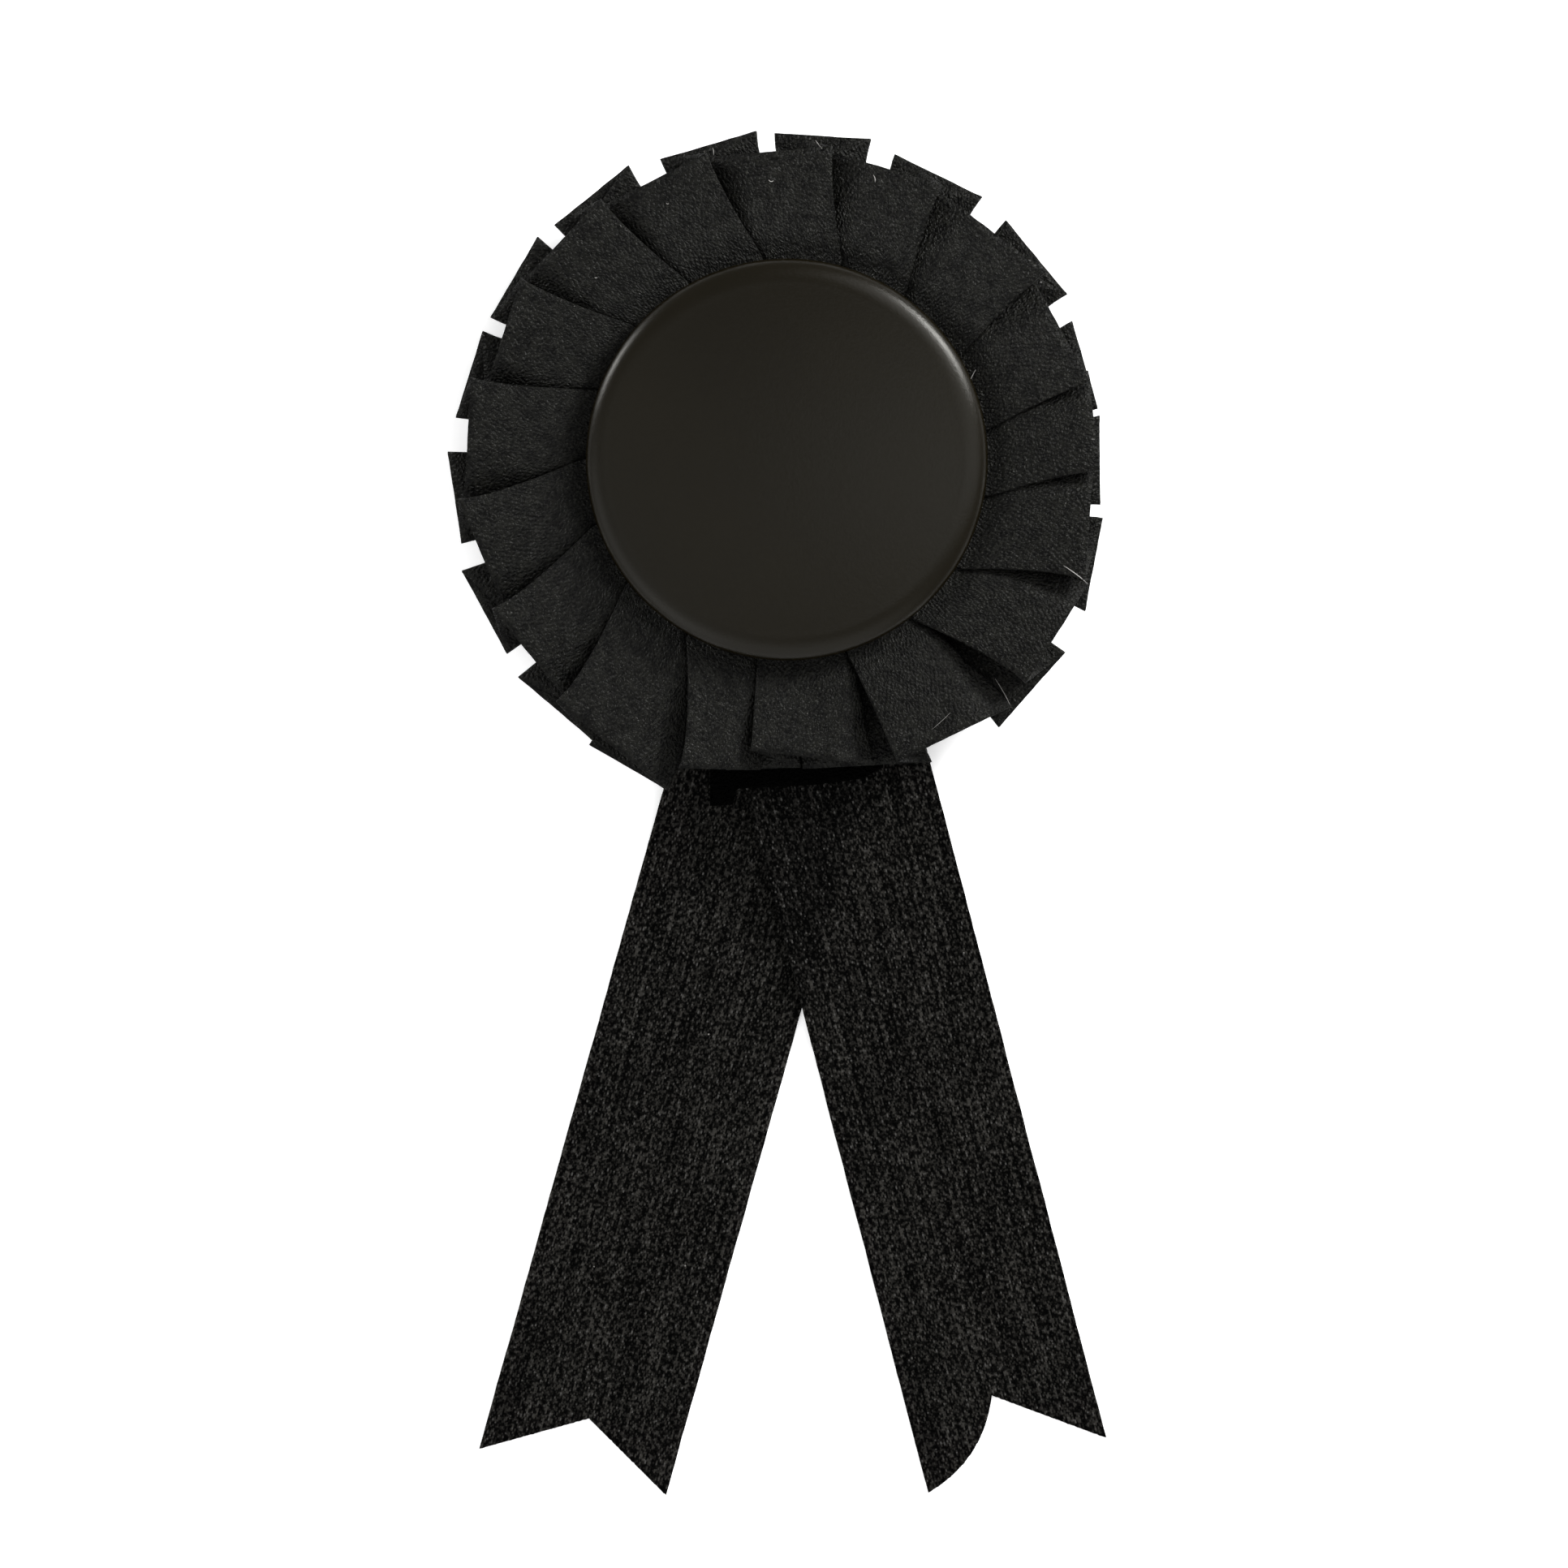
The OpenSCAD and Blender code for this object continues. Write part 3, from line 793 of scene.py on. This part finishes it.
def face_edge(i):
    """Both ends of the outer edge of the face before fold i, from its notch to its fold."""
    notch_at = (fold(i - 1).tab_to + fold(i).tab_from) / 2
    return (notch_at, fold(i).notch), (fold(i).at, fold(i).reach)


def crease(tip, side, height_from, height_to, reach, lean):
    """Sections round a crease whose outside is at bearing tip and points to side, 1 for clockwise."""
    made = []
    middle, half = (height_from + height_to) / 2, (height_from - height_to) / 2
    for step in range(CREASE_STEPS + 1):
        turn = math.pi / 2 - math.pi * step / CREASE_STEPS
        back = round_rim(abs(half) * (1 - math.cos(turn)))
        made.append(Section(tip - side * back, middle + half * math.sin(turn), reach, lean))
    return made


def ply(start, end, edge, steps, curve):
    """Sections of the cloth between two others, along the edge through two corners. A face has no curve."""
    made = []
    for step in range(1, steps):
        share = step / steps if curve else (step / steps) ** FACE_CROWD
        bearing = mix(start.bearing, end.bearing, share)
        height = mix(start.height, end.height, curve(share) if curve else share)
        lean = mix(start.lean, end.lean, share)
        climb = None if curve else share
        made.append(Section(bearing, height, edge_reach(bearing, *edge), lean, climb))
    return made


def fall(share):
    """Drop of the cloth behind a fold: steep at the fold and level at the tab's end."""
    return 1 - (1 - share) ** TAB_BOW


def join_plies(creases):
    """All sections, from pairs of a crease and the (edge, steps, curve) of the ply after it."""
    made = []
    for now, (sections, after) in enumerate(creases):
        made.extend(sections)
        if after is not None:
            made.extend(ply(sections[-1], creases[now + 1][0][0], *after))
    return made


def crest(i):
    """Crease at the top of fold i."""
    here = fold(i)
    return crease(here.at, 1, CREST_Z, CREST_Z - 2 * CREASE_R, here.reach, here.lean)


def down_to_tab(i):
    """Creases and plies from fold i down to its tab, first over the next face's start where they lap."""
    here = fold(i)
    edge = (here.tab_from, here.from_reach), (here.at, here.reach)
    if here.lap <= 0:
        return [(crest(i), (edge, DROP_STEPS, fall))]
    over = start_at(i) - round_rim(PASS_BEFORE)
    passing = Section(over, START_Z + PASS_Z, edge_reach(over, *edge), start_lean(i))
    return [(crest(i), (edge, OVER_STEPS, smooth)), ([passing], (edge, DOWN_STEPS, fall))]


def tab_and_face(i, tab_start):
    """Creases and plies from the start of fold i's tab to the next fold."""
    here = fold(i)
    start, next_edge = start_at(i), face_edge(i + 1)
    reach = edge_reach(start, *next_edge)
    tab = (here.tab_from, here.from_reach), (here.tab_to, here.to_reach)
    behind = (here.tab_to, here.to_reach), (start, reach)
    tab_end = crease(
        here.tab_to, 1, TAB_Z, TAB_Z + 2 * CREASE_R, here.to_reach, notch_lean(i + 1)
    )
    face_start = crease(start, -1, START_Z - 2 * CREASE_R, START_Z, reach, start_lean(i))
    return [
        (tab_start, (tab, TAB_STEPS, smooth)),
        (tab_end, (behind, BEHIND_STEPS, straight)),
        (face_start, (next_edge, FACE_STEPS, None)),
    ]


def ring_sections():
    """Sections of the ribbon from its cut start at the first fold's tab, once round, to its cut end."""
    last = FIRST_FOLD + len(FOLDS)
    cut = Section(CUT_AT, TAB_Z, fold(FIRST_FOLD).from_reach, notch_lean(FIRST_FOLD))
    creases = tab_and_face(FIRST_FOLD, [cut])
    for i in range(FIRST_FOLD + 1, last):
        here = fold(i)
        tab_start = crease(
            here.tab_from, -1, TAB_Z + 2 * CREASE_R, TAB_Z, here.from_reach, notch_lean(i)
        )
        creases += down_to_tab(i) + tab_and_face(i, tab_start)
    end = fold(last).at - LAST_PLY
    tip = Section(end, CREST_Z - LAST_DROP, edge_reach(end, *face_edge(last)), fold(last).lean)
    creases += [(crest(last), (face_edge(last), LAST_STEPS, smooth)), ([tip], None)]
    return join_plies(creases)


def lean_share(r):
    """Share of a fold's lean at a radius: none at the rim, all of it at the badge and inside."""
    inwards = max(0.0, min(1.0, (1 / r - 1 / RIM_R) / (1 / LEAN_R - 1 / RIM_R)))
    return inwards**FOLD_BOW


def freedom(r):
    """How free the pleats are at a radius: 1 at the rim and 0 where the badge holds them down."""
    return smooth((r - HELD_R) / (FREE_R - HELD_R))


def start_height(r):
    """Height of the faces' starts: towards the badge they are pressed up under the folds."""
    return mix(CREST_Z - HELD_DROP, START_Z, freedom(r))


def pressed(height, r):
    """Height of a ply between two faces or behind them."""
    start = start_height(r)
    if height >= START_Z:
        return mix(start, CREST_Z, (height - START_Z) / (CREST_Z - START_Z))
    return TAB_Z + (start - TAB_Z) * (height - TAB_Z) / (START_Z - TAB_Z)


def climbed(share, r):
    """Height of a face: a steep start, which is wide at the rim, then a gentle slope up to its fold."""
    steep = mix(STEEP_INSIDE, STEEP_SHARE, freedom(r))
    ramp = 1 - (1 - min(1.0, share / steep)) ** FACE_BOW
    slope = 1 - (1 - share) ** FACE_BOW
    return mix(start_height(r), CREST_Z, mix(ramp, slope, FACE_EVEN))


def ring_point(section, r, slant=0.0):
    """Point of a section at a radius in mm. slant is 1 at the ribbon's cut start and 0 past its first tab."""
    turned = section.lean * lean_share(r) - slant * CUT_SLANT * (section.reach - r)
    bearing = math.radians(section.bearing + turned)
    x, y = r * math.sin(bearing), r * math.cos(bearing)
    dent = DENT_DEEP * ripple(x / DENT_SIZE, y / DENT_SIZE, section.height / PLIES_APART)
    wrinkle = WRINKLE_DEEP * ripple(x / WRINKLE_SIZE, y / WRINKLE_SIZE, section.height)
    height = pressed(section.height, r) if section.climb is None else climbed(section.climb, r)
    height += (dent + wrinkle) * smooth((r - SMOOTH_R) / (UNEVEN_R - SMOOTH_R))
    height = max(TAB_Z, height - BADGE_PRESS * smooth((PRESS_R - r) / (PRESS_R - PRESSED_R)))
    return spot(x, y, RING_LOW.z + height * MM)


def build_ring(sizes, colours):
    """The ring: a grid of ribbon, one column to a section, folded into its pleats."""
    sections = ring_sections()
    reach_of = [s.reach + RIM_WAVE * ripple(s.bearing / RIM_WAVE_SIZE, s.height) for s in sections]
    lengths = [0.0]
    for before, after in zip(sections, sections[1:]):
        outer = ring_point(after, after.reach) - ring_point(before, before.reach)
        half = RIBBON_W / 2
        middle = ring_point(after, after.reach - half) - ring_point(before, before.reach - half)
        lengths.append(lengths[-1] + outer.length)

    def place(column, row):
        r = reach_of[column] - RIBBON_W * (1 - row / RING_ROWS)
        slant = max(0.0, 1 - column / CUT_FADE) if r > RIM_R - CUT_DEEP else 0.0
        return ring_point(sections[column], r, slant), (lengths[column], r * MM), 0.0

    bm = cloth_grid(len(sections) - 1, RING_ROWS, place)
    material = satin_material("pleat_satin", colours.satin, lint_share=0.07, shine=1.0)
    ring = new_piece("pleated_satin_ring", bm, material)
    thicken(ring, sizes.cloth)
    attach(ring, "root")
    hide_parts("pleated_ribbon")


class ROSETTE_OT_pleated_ring(bpy.types.Operator):
    """Folds the satin ribbon into box pleats round the badge"""

    bl_idname = "rosette.pleated_ring"
    bl_label = "Pleated ring"

    def execute(self, context):
        build_ring(context.scene.rosette_sizes, context.scene.rosette_colours)
        return {"FINISHED"}


# Tails


def tail_cut(tail):
    """The cut end of a tail as points (across, along), with a bulge in its first side."""
    half = tail.width / 2
    first = Vector((-half, tail.corners[0]))
    notch = Vector(tail.notch)
    way = notch - first
    aside = Vector((-way.y, way.x)).normalized()
    shares = [k / CUT_STEPS for k in range(CUT_STEPS + 1)]
    line = [first + way * share + aside * tail.bulge * 4 * share * (1 - share) for share in shares]
    return [tuple(point) for point in line] + [(half, tail.corners[1])]


def tail_spot(tail, across, down):
    """x and y in mm from the badge's middle of a point of a tail."""
    lean = math.radians(tail.lean)
    u, v = tail.aside + across, -down
    return u * math.cos(lean) - v * math.sin(lean), u * math.sin(lean) + v * math.cos(lean)


def inside_tail(tail, x, y):
    """1 where a tail covers a spot, with a soft edge."""
    lean = math.radians(-tail.lean)
    across = x * math.cos(lean) - y * math.sin(lean) - tail.aside
    return smooth((tail.width / 2 - abs(across)) / TAIL_EDGE + 0.5)


def build_tail(tail, other, sizes, colours):
    """A tail as one ply of crinkled ribbon. It is cut along its forked end, row by row."""
    cut = tail_cut(tail)
    notch_column = round(TAIL_COLUMNS * (tail.notch[0] + tail.width / 2) / tail.width)
    top_height = tail.fall[0][1]
    seed = tail.seed

    def place(column, row):
        if column <= notch_column:
            across = mix(-tail.width / 2, tail.notch[0], column / notch_column)
        else:
            share = (column - notch_column) / (TAIL_COLUMNS - notch_column)
            across = mix(tail.notch[0], tail.width / 2, share)
        end = along(cut, across, straight) + CUT_WAVER * ripple(across * CUT_WAVER_CELLS, seed)
        down = mix(TAIL_TOP, end, row / TAIL_ROWS)
        edge = smooth((abs(across) - tail.width / 2 + TAIL_EDGE) / TAIL_EDGE)
        wander = sum(deep * ripple(down / size, seed + more) for deep, size, more in EDGE_WANDER)
        x, y = tail_spot(tail, across + edge * wander, down)
        streak = sum(deep * ripple(across * wide, down * far, seed) for wide, far, deep in CRINKLES)
        lying = along(tail.fall, down, smooth)
        wave = 0.5 + 0.5 * ripple(across / WAVE_WIDE, down / WAVE_LONG, seed + WAVE_SEED)
        height = lying * (1 + TAIL_HANGS / top_height) + TAIL_LIES
        height += TAIL_WAVE * wave * (1 - lying / top_height)
        height += streak * sizes.crinkle / MM
        # Share of the other tail under this one, which the tail's material turns into painted shade
        covered = inside_tail(other, x, y) if tail.name == "tail_right" else 0.0
        return spot(x, y, max(height, TAIL_LEAST) * MM), (across * MM, down * MM), covered

    bm = cloth_grid(TAIL_COLUMNS, TAIL_ROWS, place)
    material = bpy.data.materials.get("tail_crinkle") or crinkled_material(colours.crinkled)
    piece = new_piece(tail.name + "_ribbon", bm, material)
    thicken(piece, sizes.tail_cloth)
    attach(piece, "root")
    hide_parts(tail.name)
    return piece


class ROSETTE_OT_tails(bpy.types.Operator):
    """Lays the two forked tails of crinkled ribbon"""

    bl_idname = "rosette.tails"
    bl_label = "Tails"

    def execute(self, context):
        sizes, colours = context.scene.rosette_sizes, context.scene.rosette_colours
        left, right = TAILS
        lower = build_tail(left, right, sizes, colours)
        build_tail(right, left, sizes, colours)
        return {"FINISHED"}


def build_ribbon_end(sizes, colours):
    """The pleated ribbon's cut end behind the ring, with its slanting cut, darkened as painted shade."""

    def place(column, row):
        x = mix(END_LEFT, END_RIGHT, column / END_COLUMNS)
        waver = END_WAVER * ripple(x * END_WAVER_CELLS, END_WAVER_SEED)
        y = mix(END_TOP, along(END_CUT, x, straight) + waver, row / END_ROWS)
        droop = END_DROOP * MM * smooth((-y - DROOP_FROM) / (DROOP_TO - DROOP_FROM))
        dent = END_DENT * MM * ripple(x / END_DENT_SIZE, y / END_DENT_SIZE)
        height = END_HIGH.z - END_BELOW * MM - droop + dent
        return spot(x, y, height), (x * MM, y * MM), 0.0

    bm = cloth_grid(END_COLUMNS, END_ROWS, place)
    # Painted shade: the satin darkened to END_SHADE of its tone, with little shine, for the ring's shadow
    # over the end
    shaded = times(colours.satin, END_SHADE)
    material = satin_material("end_satin", shaded, lint_share=0.0, shine=0.1)
    piece = new_piece("ribbon_end_satin", bm, material)
    thicken(piece, sizes.cloth)
    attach(piece, "root")
    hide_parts("ribbon_end")


class ROSETTE_OT_ribbon_end(bpy.types.Operator):
    """Tucks the pleated ribbon's cut end behind the ring"""

    bl_idname = "rosette.ribbon_end"
    bl_label = "Ribbon's cut end"

    def execute(self, context):
        build_ribbon_end(context.scene.rosette_sizes, context.scene.rosette_colours)
        return {"FINISHED"}


# The badge


def spun(profile, steps):
    """A closed shell from a closed profile of (radius, height) in metres, spun round the badge's middle."""
    bm = bmesh.new()
    verts = [bm.verts.new((MIDDLE.x + r, MIDDLE.y, z)) for r, z in profile]
    edges = [bm.edges.new(pair) for pair in zip(verts, verts[1:] + verts[:1])]
    bmesh.ops.spin(
        bm, geom=verts + edges, cent=(MIDDLE.x, MIDDLE.y, 0.0), axis=(0.0, 0.0, 1.0),
        angle=math.tau, steps=steps, use_merge=True,
    )
    bmesh.ops.remove_doubles(bm, verts=bm.verts, dist=SAME_SPOT)
    bmesh.ops.dissolve_degenerate(bm, edges=bm.edges, dist=NO_LENGTH)
    bmesh.ops.recalc_face_normals(bm, faces=bm.faces)
    return bm


def badge_profile(wall):
    """Closed profile of the pressed shell: low dome, oval edge, straight skirt and curl, then back inside."""
    height = BADGE_HIGH.z - BADGE_LOW.z
    edge_x = BADGE_R - EDGE_ACROSS
    meet = math.atan2(edge_x + EDGE_ACROSS * EDGE_START, DOME_R)
    lean = math.atan(math.tan(meet) * EDGE_ACROSS / EDGE_DOWN)
    edge_z = height - DOME_R * (1 - math.cos(meet)) - EDGE_DOWN * math.cos(lean)

    def line(inset):
        dome = [
            ((DOME_R - inset) * math.sin(a), height - DOME_R + (DOME_R - inset) * math.cos(a))
            for a in (meet * k / DOME_STEPS for k in range(DOME_STEPS + 1))
        ]
        edge = [
            (
                edge_x + (EDGE_ACROSS - inset) * math.sin(a),
                edge_z + (EDGE_DOWN - inset) * math.cos(a),
            )
            for a in (mix(lean, math.pi / 2, k / EDGE_STEPS) for k in range(1, EDGE_STEPS + 1))
        ]
        return dome + edge + [(BADGE_R - inset, CURL_R)]

    curl = [
        (BADGE_R - CURL_R + CURL_R * math.cos(a), CURL_R + CURL_R * math.sin(a))
        for a in (-math.tau * k / CURL_STEPS for k in range(1, CURL_STEPS * 2 // 3 + 1))
    ]
    inside = [point for point in reversed(line(wall)) if point[1] > WALL_FROM * CURL_R]
    return [(max(0.0, r), BADGE_LOW.z + z) for r, z in line(0.0) + curl + inside]


class ROSETTE_OT_badge(bpy.types.Operator):
    """Spins the badge's pressed shell"""

    bl_idname = "rosette.badge"
    bl_label = "Badge"

    def execute(self, context):
        sizes, colours = context.scene.rosette_sizes, context.scene.rosette_colours
        bm = spun(badge_profile(sizes.badge_wall), BADGE_STEPS)
        material = enamel_material(colours.enamel)
        badge = new_piece("badge_shell", bm, material)
        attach(badge, "root")
        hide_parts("badge")
        return {"FINISHED"}


# The back


def add_plate(bm, radius, pull, thickness, ease, turn):
    """A disc drawn out by pull along X and thickened along Z, with eased rims, placed by the matrix turn."""
    before = set(bm.verts)
    half_step = Matrix.Rotation(math.pi / PLATE_SIDES, 4, "Z")
    disc = bmesh.ops.create_circle(
        bm, cap_ends=True, segments=PLATE_SIDES, radius=radius, matrix=half_step
    )["verts"]
    for vert in disc:
        if vert.co.x > 0:
            vert.co.x += pull
    grown = bmesh.ops.extrude_face_region(bm, geom=[disc[0].link_faces[0]])
    raised = [item for item in grown["geom"] if isinstance(item, bmesh.types.BMVert)]
    bmesh.ops.translate(bm, verts=raised, vec=(0.0, 0.0, thickness))
    rims = {
        edge
        for rim in (disc, raised)
        for vert in rim
        for edge in vert.link_edges
        if set(edge.verts) <= set(rim)
    }
    bmesh.ops.bevel(
        bm, geom=list(rims), offset=ease, offset_type="OFFSET", segments=2, profile=0.5,
        affect="EDGES", material=-1,
    )
    bmesh.ops.transform(bm, matrix=turn, verts=[v for v in bm.verts if v not in before])


def build_pin(colours):
    """The bar pin: a bar with round ends, hinge and catch as two ears under it, and a straight wire."""
    bm = bmesh.new()
    half = (PIN_HIGH.y - PIN_LOW.y) / 2
    middle = (PIN_LOW + PIN_HIGH) / 2
    bar = Matrix.Translation((PIN_LOW.x + half, middle.y, PIN_HIGH.z - PIN_BAR_T))
    add_plate(bm, half, PIN_HIGH.x - PIN_LOW.x - 2 * half, PIN_BAR_T, BAR_EASE, bar)
    upright = Matrix.Rotation(math.pi / 2, 4, "X") @ Matrix.Rotation(math.pi / 2, 4, "Z")
    for side in (-1, 1):
        ear = Matrix.Translation(
            (middle.x + side * PIN_SPAN / 2, middle.y + PIN_EAR_W / 2, PIN_LOW.z + PIN_EAR_R)
        )
        rise = PIN_HIGH.z - PIN_LOW.z - 2 * PIN_EAR_R - EAR_BELOW
        add_plate(bm, PIN_EAR_R, rise, PIN_EAR_W, EAR_EASE, ear @ upright)
    along_x = Matrix.Rotation(math.pi / 2, 4, "Y")
    wire = Matrix.Translation((middle.x - PIN_SPAN / 2, middle.y, PIN_LOW.z + PIN_EAR_R))
    add_plate(bm, PIN_WIRE_R, 0.0, PIN_SPAN, WIRE_EASE, wire @ along_x)
    bmesh.ops.recalc_face_normals(bm, faces=bm.faces)
    pin = new_piece("bar_pin_steel", bm, steel_material(colours.steel), smooth_faces=False)
    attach(pin, "root")
    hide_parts("bar_pin")


class ROSETTE_OT_back(bpy.types.Operator):
    """Finishes the card and makes the bar pin behind it"""

    bl_idname = "rosette.back"
    bl_label = "Card and pin"

    def execute(self, context):
        colours = context.scene.rosette_colours
        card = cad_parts["back_card"]
        card.data.materials.clear()
        card.data.materials.append(card_material(colours.card))
        build_pin(colours)
        return {"FINISHED"}


# Lint


class ROSETTE_OT_lint(bpy.types.Operator):
    """Lays the few pale fibres that show on the cloth"""

    bl_idname = "rosette.lint"
    bl_label = "Lint"

    def execute(self, context):
        depsgraph = context.evaluated_depsgraph_get()
        ring = bpy.data.objects["pleated_satin_ring"]
        tree = BVHTree.FromObject(ring, depsgraph)
        down = Vector((0.0, 0.0, -1.0))
        bm = bmesh.new()
        for fibre in FIBRES:
            points = []
            for step in range(FIBRE_STEPS + 1):
                share = step / FIBRE_STEPS
                px = [
                    mix(mix(a, b, share), mix(b, c, share), share)
                    for a, b, c in zip(fibre.start, fibre.middle, fibre.end)
                ]
                above = from_photo(px, ABOVE_ALL)
                cloth = tree.ray_cast(above, down)[0]
                points.append(Vector((above.x, above.y, cloth.z + FIBRE_R)))
            add_fibre(bm, points, FIBRE_R * (FIBRE_DARKEST + FIBRE_ADDS * fibre.pale))
        bmesh.ops.recalc_face_normals(bm, faces=bm.faces)
        lint = new_piece("lint_fibres", bm, thread_material())
        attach(lint, "root")
        return {"FINISHED"}


def add_fibre(bm, points, radius):
    """A thin fibre through points, with closed ends."""
    rings = []
    for k, point in enumerate(points):
        way = points[min(k + 1, len(points) - 1)] - points[max(k - 1, 0)]
        turn = way.to_track_quat("Z", "Y")
        thin = radius * mix(FIBRE_TIP, 1.0, math.sin(math.pi * k / (len(points) - 1)))
        ring = bmesh.ops.create_circle(bm, cap_ends=False, segments=FIBRE_SIDES, radius=thin)["verts"]
        for vert in ring:
            vert.co = turn @ vert.co + point
        rings.append(ring)
    for one, two in zip(rings, rings[1:]):
        edges = list({e for v in one + two for e in v.link_edges if len(e.link_faces) < 2})
        edges = [e for e in edges if set(e.verts) <= set(one) or set(e.verts) <= set(two)]
        bmesh.ops.bridge_loops(bm, edges=edges)
    for ring in (rings[0], rings[-1]):
        bmesh.ops.contextual_create(bm, geom=ring)


# The stage


def add_light(name, bearing, climb, size, share):
    """A soft light. share is what it adds to the floor's brightness."""
    bearing, climb = math.radians(bearing), math.radians(climb)
    way = Vector((
        math.sin(bearing) * math.cos(climb), math.cos(bearing) * math.cos(climb), math.sin(climb)
    ))
    data = bpy.data.lights.new(name, "AREA")
    data.shape = "RECTANGLE"
    data.size, data.size_y = size
    data.energy = share * math.pi**2 * LIGHT_AWAY**2 / math.sin(climb)
    light = bpy.data.objects.new(name, data)
    light.location = Vector(LIGHT_AIM) + way * LIGHT_AWAY
    light.rotation_mode = "QUATERNION"
    light.rotation_quaternion = (-way).to_track_quat("-Z", "Y")
    bpy.context.scene.collection.objects.link(light)


def floor_material():
    """White paper with a faint glow, so that the part's shadow stays as pale as the photo's background."""
    return new_material(
        "pale_floor", base_color=FLOOR_WHITE, roughness=0.9, specular_ior_level=0.0,
        emission_color=WHITE, emission_strength=FLOOR_GLOW,
    )[0]


class ROSETTE_OT_stage(bpy.types.Operator):
    """Sets the pale floor, the soft lights and the camera straight above"""

    bl_idname = "rosette.stage"
    bl_label = "Studio"

    def execute(self, context):
        scene = context.scene
        bm = bmesh.new()
        bmesh.ops.create_grid(bm, x_segments=1, y_segments=1, size=FLOOR_HALF)
        mesh = bpy.data.meshes.new("floor")
        bm.to_mesh(mesh)
        bm.free()
        mesh.materials.append(floor_material())
        floor = bpy.data.objects.new("floor", mesh)
        scene.collection.objects.link(floor)

        world = bpy.data.worlds.new("studio")
        world.use_nodes = True
        background = world.node_tree.nodes["Background"]
        background.inputs["Color"].default_value = WHITE
        background.inputs["Strength"].default_value = ROOM_LIGHT
        scene.world = world
        scene.view_settings.view_transform = "Standard"

        for light in LIGHTS:
            add_light(*light)

        data = bpy.data.cameras.new("camera")
        data.sensor_width = SENSOR_W
        data.lens = SENSOR_W * CAMERA_AWAY / (PHOTO_SIZE * PIXEL)
        data.clip_end = CAMERA_SEES
        camera = bpy.data.objects.new("camera", data)
        camera.location = from_photo((PHOTO_SIZE / 2, PHOTO_SIZE / 2), CAMERA_AWAY + CAMERA_FITS)
        scene.collection.objects.link(camera)
        scene.camera = camera
        return {"FINISHED"}


STEPS = [
    ROSETTE_OT_stage,
    ROSETTE_OT_pleated_ring,
    ROSETTE_OT_tails,
    ROSETTE_OT_ribbon_end,
    ROSETTE_OT_badge,
    ROSETTE_OT_back,
    ROSETTE_OT_lint,
]


class ROSETTE_PT_panel(bpy.types.Panel):
    """Lists the sizes, the colours and the steps"""

    bl_idname = "ROSETTE_PT_panel"
    bl_label = "Ribbon Rosette"
    bl_space_type = "VIEW_3D"
    bl_region_type = "UI"
    bl_category = "Rosette"

    def draw(self, context):
        column = self.layout.column(align=True)
        for group in (context.scene.rosette_sizes, context.scene.rosette_colours):
            for name in group.__annotations__:
                column.prop(group, name)
        for step in STEPS:
            column.operator(step.bl_idname)


CLASSES = [RosetteSizes, RosetteColours, *STEPS, ROSETTE_PT_panel]


def register():
    for kind in CLASSES:
        bpy.utils.register_class(kind)
    bpy.types.Scene.rosette_sizes = bpy.props.PointerProperty(type=RosetteSizes)
    bpy.types.Scene.rosette_colours = bpy.props.PointerProperty(type=RosetteColours)


def unregister():
    del bpy.types.Scene.rosette_sizes
    del bpy.types.Scene.rosette_colours
    for kind in reversed(CLASSES):
        bpy.utils.unregister_class(kind)


def main():
    register()
    bpy.ops.rosette.stage()
    bpy.ops.rosette.pleated_ring()
    bpy.ops.rosette.tails()
    bpy.ops.rosette.ribbon_end()
    bpy.ops.rosette.badge()
    bpy.ops.rosette.back()
    bpy.ops.rosette.lint()


if __name__ == "__main__":
    main()
